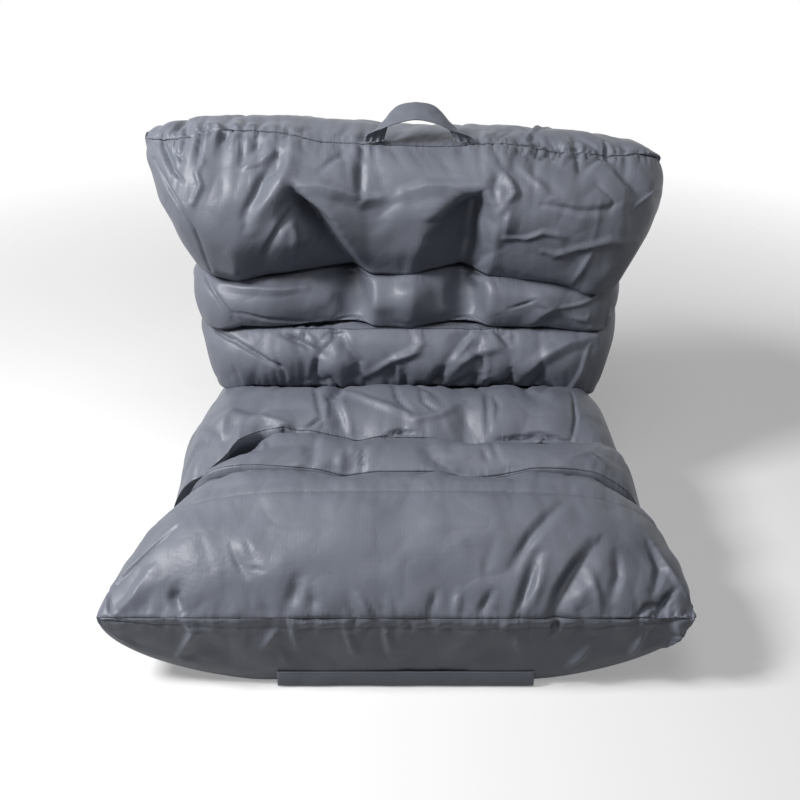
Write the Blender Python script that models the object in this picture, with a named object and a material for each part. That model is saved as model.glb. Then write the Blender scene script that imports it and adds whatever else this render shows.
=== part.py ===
"""A bead-filled floor lounger: six fabric cells sewn in a chain, from a wide front cushion to an eared headrest.

Metres, +Z up, the sitter looks along -Y. The part stands on Z = 0, centred on its bounding box.
Each cell is a bead filling with thin cover panels sewn over it. Cross seams join the cells, and each seam is a hinge.
"""

import math

import bmesh
import bpy
from mathutils import Matrix, Vector

# Fabric and seams
FABRIC_GAP = 0.0006  # between a filling and the cover over it
FABRIC_THICK = 0.0016
SEAM_INSET = 0.0012  # how far each panel stops short of its seam line
COVER_OUT = FABRIC_GAP + FABRIC_THICK
RUN_GAP = 0.0004  # between pieces that move or slide on each other
WELT_RADIUS = 0.0020  # the rolled seam allowance that joins two cells, on their hinge line
WELT_SHARE = 0.52  # the welt's half length as a share of the cell's half width
WELT_SIDES = 10
WALL_ROOM = WELT_RADIUS + RUN_GAP + COVER_OUT  # from a hinge line to a filling whose wall is covered
BARE_ROOM = WELT_RADIUS + 3 * RUN_GAP  # from a hinge line to a filling whose wall is bare
WELD_SHARE = 0.001  # of a room: side edges closer than this are one edge

# Main sizes: what the tables of shares below multiply
WIDTH = 1.000  # over the side seams of the front cushion
DEPTH = 0.835  # from the front seam to the rear of the base
SEAT_HEIGHT = 0.283  # of the seams across the seat
BACK_HEIGHT = 0.748  # of the rear edge of the headrest

# Cross seams on the sitter's side: share of the depth, share of the seat's height
FRONT_SEAM_SHARES = (0.0, 0.530)
STITCH_LINE_SHARES = (0.1916, 1.039)
KNEE_SEAM_SHARES = (0.2814, 0.9965)
SEAT_SEAM_SHARES = (0.4132, 1.0)
WAIST_SEAM_SHARES = (0.6527, 1.0)
# The same over the seat: share of the depth, share of the rise from the seat to the top of the back
LUMBAR_SEAM_SHARES = (0.6826, 0.2624)
NECK_SEAM_SHARES = (0.7186, 0.4774)
TOP_SEAM_SHARES = (0.7904, 0.9892)

# How far each panel bulges from the straight line between its seams
FRONT_TOP_CROWN = 0.032
REAR_STRIP_CROWN = 0.011
BOXING_CROWN = 0.016
SEAT_ROLL_CROWN = 0.022
REAR_SEAT_CROWN = 0.040
LOWER_LUMBAR_CROWN = 0.028
UPPER_LUMBAR_CROWN = 0.023
HEADREST_CROWN = 0.078
TOP_GUSSET_CROWN = 0.022
BACK_CROWN = 0.020

# Base and back, the sides that the sitter doesn't see
FRONT_FOOT_DEPTH = 0.012  # the front boxing meets the floor this far behind the front seam
SEAT_BULGE_SHARES = (1.0539, 0.3887)
WAIST_NOTCH_SHARE = 0.9521
BACK_LOW_SHARE = 1.0323
BACK_MIDDLE_SHARE = 1.0599
BACK_HIGH_SHARE = 1.0719
BACK_TOP_SHARES = (1.0060, 1.0)

# Slopes of the walls under and over each back hinge: the wedge between them is the room to recline
WAIST_WALL_UNDER_DEG = -9.5
WAIST_WALL_OVER_DEG = 11.0
LUMBAR_WALL_UNDER_DEG = -1.0
LUMBAR_WALL_OVER_DEG = 6.0
NECK_WALL_UNDER_DEG = 1.0
NECK_WALL_OVER_DEG = 11.0

# Side edges of the cells, where the covers meet, at three places along each: shares of half the width, of the
# depth, and of the seat's height or, for the last three, of the rise over the seat
FRONT_EDGE_SHARES = ((1.0, 0.0, 0.530), (0.948, 0.1497, 0.502), (0.904, 0.2766, 0.466))
SEAT_ROLL_EDGE_SHARES = ((0.892, 0.2862, 0.459), (0.900, 0.3473, 0.459), (0.876, 0.4084, 0.459))
REAR_SEAT_EDGE_SHARES = ((0.872, 0.4180, 0.459), (0.848, 0.6347, 0.488), (0.770, 0.8200, 0.830))
LOWER_LUMBAR_EDGE_SHARES = ((0.790, 0.8300, 0.086), (0.846, 0.8455, 0.180), (0.840, 0.8527, 0.250))
UPPER_LUMBAR_EDGE_SHARES = ((0.832, 0.8575, 0.3075), (0.860, 0.8599, 0.3806), (0.824, 0.8647, 0.4538))
HEADREST_EDGE_SHARES = ((0.816, 0.8671, 0.5312), (0.924, 0.8647, 0.7505), (0.984, 0.8683, 0.9871))

# How the cover closes towards the side edges: where the fall starts, as a share of the half width, and its power
FRONT_FALL_SHARES = (0.0, 3.0)
STRIP_FALL_SHARES = (0.0, 4.6)
CROWN_FALL_SHARES = (0.0, 5.0)
SEAM_FALL_SHARES = (0.0, 9.0)  # a cross seam stays straight until close to the side
HEADREST_FALL_SHARES = (0.0, 3.6)
TOP_FALL_SHARES = (0.0, 4.0)
BACK_FALL_SHARES = (0.0, 3.4)
FRONT_BASE_FALL_SHARES = (0.45, 1.7)
BASE_FALL_SHARES = (0.60, 2.0)
WALL_FALL_SHARES = (0.2, 3.0)

# Columns of the covers across the half width, closer together towards the edge
WIDE_COLUMN_SHARES = (0.0, 0.11, 0.22, 0.33, 0.44, 0.56, 0.68, 0.79, 0.88, 0.95, 1.0)
ROLL_COLUMN_SHARES = (0.0, 0.15, 0.30, 0.44, 0.58, 0.72, 0.85, 0.95, 1.0)
HEADREST_COLUMN_SHARES = (0.0, 0.07, 0.14, 0.21, 0.28, 0.35, 0.42, 0.50, 0.59, 0.69, 0.79, 0.88, 0.95, 1.0)
GUSSET_SHARE = 0.94  # the side gussets start here

# Two tucks sewn into the headrest: half width from the middle, height share of the panel, at the top and the foot
LEFT_TUCK = (Vector((-0.200, 0.58)), Vector((-0.088, 0.0)))
RIGHT_TUCK = (Vector((0.142, 0.58)), Vector((0.112, 0.0)))
TUCK_DEPTH = 0.040
TUCK_WIDTH = 0.048
# Upright gathers in the two lumbar bands, where the tucks run on
GATHER_DEPTH = 0.009
GATHER_WIDTH = 0.040

# Concealed zip in the front boxing, close to the floor
ZIP_TOP_HEIGHT = 0.036
ZIP_LINE_HEIGHT = 0.022
ZIP_FOOT_HEIGHT = 0.008
ZIP_END_SHARE = 0.44  # half length of the zip as a share of the front half width
CHAIN_WIDTH = 0.0045
CHAIN_THICK = 0.0016
SLIDER_LENGTH = 0.014
SLIDER_WALL = 0.0012
SLIDER_NOSE = 0.0005
FLAP_ROOM = 0.0022  # between the slider and the flap over it

# Carry handle, a strap of the cover fabric folded to four layers
STRAP_WIDTH = 0.043
STRAP_THICK = 0.0030
HANDLE_SPAN = 0.174  # between the middles of its feet
HANDLE_RISE = 0.079
HANDLE_OFFSET = 0.022
HANDLE_LEAN_DEG = 8.0
HANDLE_STEPS = 18
HANDLE_ROUND_SHARE = 0.78  # below 1 squares the arch's shoulders

NYLON = (0.150, 0.162, 0.196)


def on_seat(depth_share, height_share):
    """Depth behind the front seam and height, for a place on the seat cushions."""
    return Vector((DEPTH * depth_share, SEAT_HEIGHT * height_share))


def on_back(depth_share, rise_share):
    """The same for a place on the back cushions."""
    return Vector((DEPTH * depth_share, SEAT_HEIGHT + (BACK_HEIGHT - SEAT_HEIGHT) * rise_share))


def side_edge(place_on, table):
    """A cell's side edge from its table of shares."""
    return tuple(Vector((WIDTH / 2 * share, *place_on(*shares))) for share, *shares in table)


FRONT_SEAM = on_seat(*FRONT_SEAM_SHARES)
STITCH_LINE = on_seat(*STITCH_LINE_SHARES)
KNEE_SEAM = on_seat(*KNEE_SEAM_SHARES)
SEAT_SEAM = on_seat(*SEAT_SEAM_SHARES)
WAIST_SEAM = on_seat(*WAIST_SEAM_SHARES)
LUMBAR_SEAM = on_back(*LUMBAR_SEAM_SHARES)
NECK_SEAM = on_back(*NECK_SEAM_SHARES)
TOP_SEAM = on_back(*TOP_SEAM_SHARES)
BACK_TOP = on_back(*BACK_TOP_SHARES)
SEAT_BULGE = on_seat(*SEAT_BULGE_SHARES)
FRONT_EDGE = side_edge(on_seat, FRONT_EDGE_SHARES)
SEAT_ROLL_EDGE = side_edge(on_seat, SEAT_ROLL_EDGE_SHARES)
REAR_SEAT_EDGE = side_edge(on_seat, REAR_SEAT_EDGE_SHARES)
LOWER_LUMBAR_EDGE = side_edge(on_back, LOWER_LUMBAR_EDGE_SHARES)
UPPER_LUMBAR_EDGE = side_edge(on_back, UPPER_LUMBAR_EDGE_SHARES)
HEADREST_EDGE = side_edge(on_back, HEADREST_EDGE_SHARES)


def clear_scene():
    for old in list(bpy.data.objects):
        bpy.data.objects.remove(old)


def finish_of(name, colour, roughness, metallic=0.0):
    made = bpy.data.materials.new(name)
    made.use_nodes = True
    shader = made.node_tree.nodes["Principled BSDF"]
    shader.inputs["Base Color"].default_value = (*colour, 1.0)
    shader.inputs["Roughness"].default_value = roughness
    shader.inputs["Metallic"].default_value = metallic
    return made


def along_wall(seam, angle_deg, depth):
    """The point on a partition that leaves the seam at this angle, where it reaches the given depth."""
    reach = depth - seam.x
    return Vector((depth, seam.y + reach * math.tan(math.radians(angle_deg))))


def bulge(start, end, crown, steps):
    """Points from start up to, but not including, end, on an arc that bulges to the left of the way."""
    way = end - start
    side = Vector((-way.y, way.x)).normalized()
    points = []
    for step in range(steps):
        share = step / steps
        points.append(start + way * share + side * crown * math.sin(math.pi * share) ** 0.8)
    return points


class Cell:
    """The closed surface of one filling: loops of rows round the cell, columns across its width.

    The rows follow the panels. Towards each side they fall to the cell's edge, where the covers meet.
    """

    def __init__(self, edge, column_shares):
        self.edge = edge
        self.columns = [-share for share in reversed(column_shares[1:])] + list(column_shares)
        self.rows = []
        self.spans = {}

    def panel(self, name, points, edge_from, edge_to, fall_from, fall_to=None, dent=None):
        first = len(self.rows)
        for step, point in enumerate(points):
            share = step / len(points)
            fall = [low + (high - low) * share for low, high in zip(fall_from, fall_to or fall_from)]
            self.rows.append((point, edge_from + (edge_to - edge_from) * share, fall, dent, share))
        self.spans[name] = (first, len(self.rows))

    def edge_point(self, share):
        low, middle, high = self.edge
        return (low * (1 - share) * (1 - 2 * share) + middle * 4 * share * (1 - share)
                + high * share * (2 * share - 1))

    def place(self, row, column):
        point, edge_share, (fall_start, fall_power), dent, share = row
        edge = self.edge_point(edge_share)
        reach = max(0.0, (abs(column) - fall_start) / (1 - fall_start))
        fall = 1 - math.sqrt(max(0.0, 1 - reach ** fall_power))
        across = edge.x * column
        depth = point.x + (edge.y - point.x) * fall
        height = point.y + (edge.z - point.y) * fall
        if dent and abs(column) < 1:
            depth += dent(across, share)
        return Vector((across, depth, height))

    def build(self):
        """The surface as a mesh, with row and column numbers kept on its faces."""
        self.mesh = bmesh.new()
        grid = [[self.mesh.verts.new(self.place(row, column)) for column in self.columns] for row in self.rows]
        self.faces = {}
        for number in range(len(grid)):
            here, after = grid[number], grid[(number + 1) % len(grid)]
            for column in range(len(self.columns) - 1):
                corners = (here[column], here[column + 1], after[column + 1], after[column])
                self.faces[number, column] = self.mesh.faces.new(corners)
        bmesh.ops.remove_doubles(self.mesh, verts=self.mesh.verts[:], dist=BARE_ROOM * WELD_SHARE)
        self.faces = {key: face for key, face in self.faces.items() if face.is_valid}
        bmesh.ops.recalc_face_normals(self.mesh, faces=self.mesh.faces[:])
        self.mesh.normal_update()
        return self

    def region(self, name, low_share=-1.0, high_share=1.0):
        """The faces of one panel between two shares of the width."""
        first, last = self.spans[name]
        return [face for (row, column), face in self.faces.items()
                if first <= row < last and low_share <= self.middle_of(column) <= high_share]

    def middle_of(self, column):
        return (self.columns[column] + self.columns[column + 1]) / 2

    def row_line(self, name, half_share):
        """The points where a panel starts, within a half share of the width."""
        row = self.rows[self.spans[name][0]]
        return [self.place(row, column) for column in self.columns if abs(column) <= half_share]


def inward(edge, face):
    """The way from a border edge into its face."""
    ends = [vert.co for vert in edge.verts]
    run = (ends[1] - ends[0]).normalized()
    way = face.calc_center_median() - (ends[0] + ends[1]) / 2
    return (way - run * way.dot(run)).normalized()


def border_insets(faces, inset):
    """For each vertex on the border of a patch, how far it moves in so that its edges clear the seam."""
    chosen = set(faces)
    ways = {}
    for face in faces:
        for edge in face.edges:
            if sum(other in chosen for other in edge.link_faces) == 1:
                for vert in edge.verts:
                    ways.setdefault(vert, []).append(inward(edge, face))
    moved = {}
    for vert, list_of_ways in ways.items():
        total = sum(list_of_ways, Vector())
        overlap = 1 + list_of_ways[0].dot(list_of_ways[-1]) if len(list_of_ways) > 1 else 1
        moved[vert] = total * inset / max(overlap, 0.5)
    return moved


def covered(faces, gap=FABRIC_GAP, thick=FABRIC_THICK, inset=SEAM_INSET, lift=None):
    """A closed sheet of fabric over a patch of a filling's surface."""
    moved = border_insets(faces, inset)
    sheet = bmesh.new()
    inner, outer = {}, {}
    for face in faces:
        for vert in face.verts:
            if vert in inner:
                continue
            base = vert.co + moved.get(vert, Vector())
            way = vert.normal * min(vert.calc_shell_factor(), 1.8)
            raised = gap + (lift(vert.co) if lift else 0.0)
            inner[vert] = sheet.verts.new(base + way * raised)
            outer[vert] = sheet.verts.new(base + way * (raised + thick))
    chosen = set(faces)
    for face in faces:
        sheet.faces.new([outer[vert] for vert in face.verts])
        sheet.faces.new([inner[vert] for vert in reversed(face.verts)])
        for loop in face.loops:
            if sum(other in chosen for other in loop.edge.link_faces) == 1:
                here, after = loop.vert, loop.link_loop_next.vert
                sheet.faces.new((inner[here], inner[after], outer[after], outer[here]))
    return sheet


class Body:
    """One rigid group of the lounger, hung on an empty at its hinge."""

    def __init__(self, name, axis_point, carrier=None):
        self.empty = bpy.data.objects.new(name + "_axis", None)
        bpy.context.collection.objects.link(self.empty)
        self.point = axis_point
        self.empty.parent = carrier.empty if carrier else None
        self.empty.location = axis_point - (carrier.point if carrier else Vector())

    def add(self, name, mesh, material, crease_deg=50.0):
        mesh.transform(Matrix.Translation(-self.point))
        bmesh.ops.triangulate(mesh, faces=mesh.faces[:])
        bmesh.ops.recalc_face_normals(mesh, faces=mesh.faces[:])
        data = bpy.data.meshes.new(name)
        mesh.to_mesh(data)
        mesh.free()
        data.materials.append(material)
        data.shade_smooth()
        data.set_sharp_from_angle(angle=math.radians(crease_deg))
        made = bpy.data.objects.new(name, data)
        made.parent = self.empty
        bpy.context.collection.objects.link(made)
        return made


def before(seam, room):
    """The corner of the cell in front of a cross seam."""
    return Vector((seam.x - room, seam.y))


def after(seam, room):
    return Vector((seam.x + room, seam.y))


def under(seam, room):
    return Vector((seam.x, seam.y - room))


def over(seam, room):
    return Vector((seam.x, seam.y + room))


def tuck(foot_and_top, across, share):
    """How deep a tuck draws the headrest in at this place: deepest near its middle, none at the top."""
    top, foot = foot_and_top
    if share > top.y:
        fade = math.exp(-(((share - top.y) / 0.12) ** 2))
        off_line = across - top.x
    else:
        fade = 1.0
        off_line = across - (foot.x + (top.x - foot.x) * share / top.y)
    return TUCK_DEPTH * fade * math.exp(-((off_line / TUCK_WIDTH) ** 2))


def headrest_dent(across, share):
    rounding = math.sin(math.pi * share) ** 0.5
    return (tuck(LEFT_TUCK, across, share) + tuck(RIGHT_TUCK, across, share)) * rounding


def gather_dent(across, share):
    gathers = (LEFT_TUCK[1].x, RIGHT_TUCK[1].x)
    depth = sum(math.exp(-(((across - place) / GATHER_WIDTH) ** 2)) for place in gathers)
    return GATHER_DEPTH * depth * math.sin(math.pi * share)


def front_cell():
    floor = COVER_OUT
    rear = before(KNEE_SEAM, WALL_ROOM)
    rear_foot = Vector((rear.x, floor))
    front_foot = Vector((FRONT_FOOT_DEPTH, floor))
    cell = Cell(FRONT_EDGE, WIDE_COLUMN_SHARES)
    top = bulge(FRONT_SEAM, STITCH_LINE, FRONT_TOP_CROWN, 5)
    strip = bulge(STITCH_LINE, rear, REAR_STRIP_CROWN, 2)
    joined = len(top) / (len(top) + len(strip))
    cell.panel("top", top, 0.0, joined, FRONT_FALL_SHARES, STRIP_FALL_SHARES)
    cell.panel("strip", strip, joined, 1.0, STRIP_FALL_SHARES)
    cell.panel("partition", bulge(rear, rear_foot, 0.0, 3), 1.0, 1.0, WALL_FALL_SHARES)
    cell.panel("base", bulge(rear_foot, front_foot, 0.0, 7), 1.0, 0.0, FRONT_BASE_FALL_SHARES)
    heights = (floor, ZIP_FOOT_HEIGHT, ZIP_LINE_HEIGHT, ZIP_TOP_HEIGHT, (ZIP_TOP_HEIGHT + FRONT_SEAM.y) / 2)
    boxing = []
    for height in heights:
        share = (height - floor) / (FRONT_SEAM.y - floor)
        swell = BOXING_CROWN * math.sin(math.pi * share ** 0.7)
        boxing.append(Vector((FRONT_FOOT_DEPTH * (1 - share) - swell, height)))
    for name, point in zip(("hem", "lower_tape", "upper_tape", "boxing", "boxing_top"), boxing):
        cell.panel(name, [point], 0.0, 0.0, FRONT_BASE_FALL_SHARES)
    return cell.build()


def seat_roll_cell():
    floor = COVER_OUT
    front, rear = after(KNEE_SEAM, BARE_ROOM), before(SEAT_SEAM, WALL_ROOM)
    cell = Cell(SEAT_ROLL_EDGE, ROLL_COLUMN_SHARES)
    cell.panel("seat", bulge(front, rear, SEAT_ROLL_CROWN, 4), 0.0, 1.0, CROWN_FALL_SHARES)
    cell.panel("partition", bulge(rear, Vector((rear.x, floor)), 0.0, 3), 1.0, 1.0, WALL_FALL_SHARES)
    cell.panel("base", bulge(Vector((rear.x, floor)), Vector((front.x, floor)), 0.0, 4), 1.0, 0.0,
               BASE_FALL_SHARES)
    cell.panel("front_wall", bulge(Vector((front.x, floor)), front, 0.0, 3), 0.0, 0.0, WALL_FALL_SHARES)
    return cell.build()


def rear_seat_cell():
    floor = COVER_OUT
    front = after(SEAT_SEAM, BARE_ROOM)
    waist = under(before(WAIST_SEAM, WALL_ROOM / 2), WALL_ROOM + 3 * RUN_GAP)
    notch = along_wall(waist, WAIST_WALL_UNDER_DEG, DEPTH * WAIST_NOTCH_SHARE)
    rear_foot = Vector((DEPTH, floor))
    cell = Cell(REAR_SEAT_EDGE, ROLL_COLUMN_SHARES)
    cell.panel("seat", bulge(front, waist, REAR_SEAT_CROWN, 6), 0.0, 1.0, CROWN_FALL_SHARES, SEAM_FALL_SHARES)
    cell.panel("partition", bulge(waist, notch, 0.0, 3), 1.0, 1.0, WALL_FALL_SHARES)
    swell = SEAT_BULGE.y / 6
    rear = bulge(notch, SEAT_BULGE, swell, 2) + bulge(SEAT_BULGE, rear_foot, swell, 2)
    cell.panel("rear", rear, 1.0, 1.0, BACK_FALL_SHARES)
    cell.panel("base", bulge(rear_foot, Vector((front.x, floor)), 0.0, 6), 1.0, 0.0, BASE_FALL_SHARES)
    cell.panel("front_wall", bulge(Vector((front.x, floor)), front, 0.0, 3), 0.0, 0.0, WALL_FALL_SHARES)
    return cell.build()


def lumbar_cell(edge, low_seam, high_seam, low_wall_deg, high_wall_deg, low_share, high_share, crown):
    low, high = over(low_seam, BARE_ROOM), under(high_seam, WALL_ROOM)
    low_back = along_wall(low, low_wall_deg, DEPTH * low_share)
    high_back = along_wall(high, high_wall_deg, DEPTH * high_share)
    cell = Cell(edge, ROLL_COLUMN_SHARES)
    cell.panel("seat", bulge(low, high, crown, 4), 0.0, 1.0, SEAM_FALL_SHARES, CROWN_FALL_SHARES, gather_dent)
    cell.panel("partition", bulge(high, high_back, 0.0, 3), 1.0, 1.0, WALL_FALL_SHARES)
    cell.panel("back", bulge(high_back, low_back, BACK_CROWN, 4), 1.0, 0.0, BACK_FALL_SHARES)
    cell.panel("low_wall", bulge(low_back, low, 0.0, 3), 0.0, 0.0, WALL_FALL_SHARES)
    return cell.build()


def headrest_cell():
    low = over(NECK_SEAM, BARE_ROOM)
    low_back = along_wall(low, NECK_WALL_OVER_DEG, DEPTH * BACK_HIGH_SHARE)
    cell = Cell(HEADREST_EDGE, HEADREST_COLUMN_SHARES)
    cell.panel("front", bulge(low, TOP_SEAM, HEADREST_CROWN, 10), 0.0, 1.0,
               SEAM_FALL_SHARES, HEADREST_FALL_SHARES, headrest_dent)
    cell.panel("gusset", bulge(TOP_SEAM, BACK_TOP, TOP_GUSSET_CROWN, 4), 1.0, 1.0, TOP_FALL_SHARES)
    cell.panel("back", bulge(BACK_TOP, low_back, BACK_CROWN, 10), 1.0, 0.0, BACK_FALL_SHARES)
    cell.panel("low_wall", bulge(low_back, low, 0.0, 3), 0.0, 0.0, WALL_FALL_SHARES)
    return cell.build()


def dress(body, cell, filling, panels, side_name, side_panels, nylon, beads):
    """The filling of a cell, its cover panels and its two side gussets."""
    for name, spans in panels.items():
        faces = []
        for span in spans:
            faces += cell.region(span, -GUSSET_SHARE, GUSSET_SHARE)
        body.add(name, covered(faces), nylon)
    for side, low_share, high_share in (("left", -1.0, -GUSSET_SHARE), ("right", GUSSET_SHARE, 1.0)):
        faces = []
        for span in side_panels:
            faces += cell.region(span, low_share, high_share)
        body.add(f"{side_name}_{side}", covered(faces), nylon)
    body.add(filling, cell.mesh, beads)


def welt_mesh(seam, edge_point):
    """The rolled seam allowance along the straight middle of a cross seam."""
    welt = bmesh.new()
    place = Matrix.Translation(Vector((0.0, *seam))) @ Matrix.Rotation(math.pi / 2, 4, "Y")
    bmesh.ops.create_cone(welt, cap_ends=True, segments=WELT_SIDES, radius1=WELT_RADIUS, radius2=WELT_RADIUS,
                          depth=2 * WELT_SHARE * edge_point.x, matrix=place)
    return welt


def loft(rings):
    """A closed body over rings of points, with a face on each end."""
    shape = bmesh.new()
    made = [[shape.verts.new(point) for point in ring] for ring in rings]
    for here, after in zip(made, made[1:]):
        for corners in zip(here, here[1:] + here[:1], after[1:] + after[:1], after):
            shape.faces.new(corners)
    shape.faces.new(made[0])
    shape.faces.new(made[-1][::-1])
    return shape


def swept_bar(path, half_height, low, high, out_way, up_way):
    """A flat bar along points that run across X, which stands out from low to high."""
    outline = ((low, -half_height), (high, -half_height), (high, half_height), (low, half_height))
    return loft([[point + out_way * out + up_way * up for out, up in outline] for point in path])


def slider_mesh(place, low, high, out_way, up_way):
    """A zip slider without a pull: a channel over the chain, narrower at its nose."""
    wall_low = CHAIN_WIDTH / 2 + RUN_GAP
    wall_high = wall_low + SLIDER_WALL
    roof = high - SLIDER_WALL
    outline = ((wall_low, low), (wall_high, low), (wall_high, high), (-wall_high, high),
               (-wall_high, low), (-wall_low, low), (-wall_low, roof), (wall_low, roof))
    rings = []
    for end_share, narrow in ((-0.5, 0.0), (0.2, 0.0), (0.5, SLIDER_NOSE)):
        middle = place + Vector((SLIDER_LENGTH * end_share, 0.0, 0.0))
        rings.append([middle + out_way * (out - narrow if out == high else out) + up_way * up
                      for up, out in outline])
    return loft(rings)


def handle_mesh(foot):
    """A flat strap bent over its own width into an arch, with both feet on the top seam."""
    lean = math.radians(HANDLE_LEAN_DEG)
    rings = []
    for step in range(HANDLE_STEPS + 1):
        turn = math.pi * step / HANDLE_STEPS
        round_x = math.copysign(abs(math.cos(turn)) ** HANDLE_ROUND_SHARE, -math.cos(turn))
        round_z = math.sin(turn) ** HANDLE_ROUND_SHARE if 0 < step < HANDLE_STEPS else 0.0
        ring = []
        for side, face in ((-1, -1), (1, -1), (1, 1), (-1, 1)):
            across = (HANDLE_SPAN + side * STRAP_WIDTH) / 2 * round_x
            rise = (HANDLE_RISE - (1 - side) / 2 * STRAP_WIDTH) * round_z
            away = face * STRAP_THICK / 2
            depth = rise * math.sin(lean) + away * math.cos(lean)
            height = rise * math.cos(lean) - away * math.sin(lean)
            ring.append(foot + Vector((across, depth, height)))
        rings.append(ring)
    return loft(rings)


def add_zip(front_body, cell, tape_finish, coil_finish, nylon):
    """Tapes, chain, slider and the flap that hides them, all on the lowest rows of the front boxing."""
    tape_rows = ("lower_tape", "upper_tape")
    for span in tape_rows:
        faces = cell.region(span, -ZIP_END_SHARE, ZIP_END_SHARE)
        front_body.add("zip_" + span, covered(faces), tape_finish)
    low_line, zip_line, top_line = (cell.row_line(span, ZIP_END_SHARE) for span in (*tape_rows, "boxing"))
    up_way = (top_line[0] - low_line[0]).normalized()
    out_way = Vector((0.0, -up_way.z, up_way.y))

    chain_low = COVER_OUT + RUN_GAP
    chain_high = chain_low + CHAIN_THICK
    slider_high = chain_high + RUN_GAP + SLIDER_WALL
    chain = swept_bar(zip_line, CHAIN_WIDTH / 2, chain_low, chain_high, out_way, up_way)
    front_body.add("zip_chain", chain, coil_finish)
    start = zip_line[0] + Vector((SLIDER_LENGTH, 0.0, 0.0))
    slider_body = Body("slider", start, front_body)
    slider = slider_mesh(start, chain_low, slider_high, out_way, up_way)
    slider_body.add("zip_slider", slider, coil_finish, crease_deg=30.0)

    def flap_lift(point):
        """The flap is sewn to the boxing along its top and stands off over the slider below."""
        sewn = point.z > (ZIP_LINE_HEIGHT + ZIP_TOP_HEIGHT) / 2
        return FABRIC_THICK + RUN_GAP if sewn else slider_high + FLAP_ROOM - FABRIC_GAP

    flap_faces = []
    for span in tape_rows:
        flap_faces += cell.region(span, -ZIP_END_SHARE, ZIP_END_SHARE)
    front_body.add("zip_flap", covered(flap_faces, inset=0.0, lift=flap_lift), nylon)
    return slider_body


def stand_on_origin(bodies):
    """Moves the root so that the part stands on Z = 0 with its bounding box centred on the origin."""
    corners = []
    for body in bodies:
        for made in body.empty.children:
            if made.type == "MESH":
                corners += [body.point + vert.co for vert in made.data.vertices]
    low = Vector([min(corner[axis] for corner in corners) for axis in range(3)])
    high = Vector([max(corner[axis] for corner in corners) for axis in range(3)])
    middle = (low + high) / 2
    shift = Vector((-middle.x, -middle.y, -low.z))
    bodies[0].empty.location += shift
    for body in bodies:
        print(body.empty.name, [round(value, 5) for value in body.point + shift])
    print("size", [round(value, 4) for value in high - low])


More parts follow.
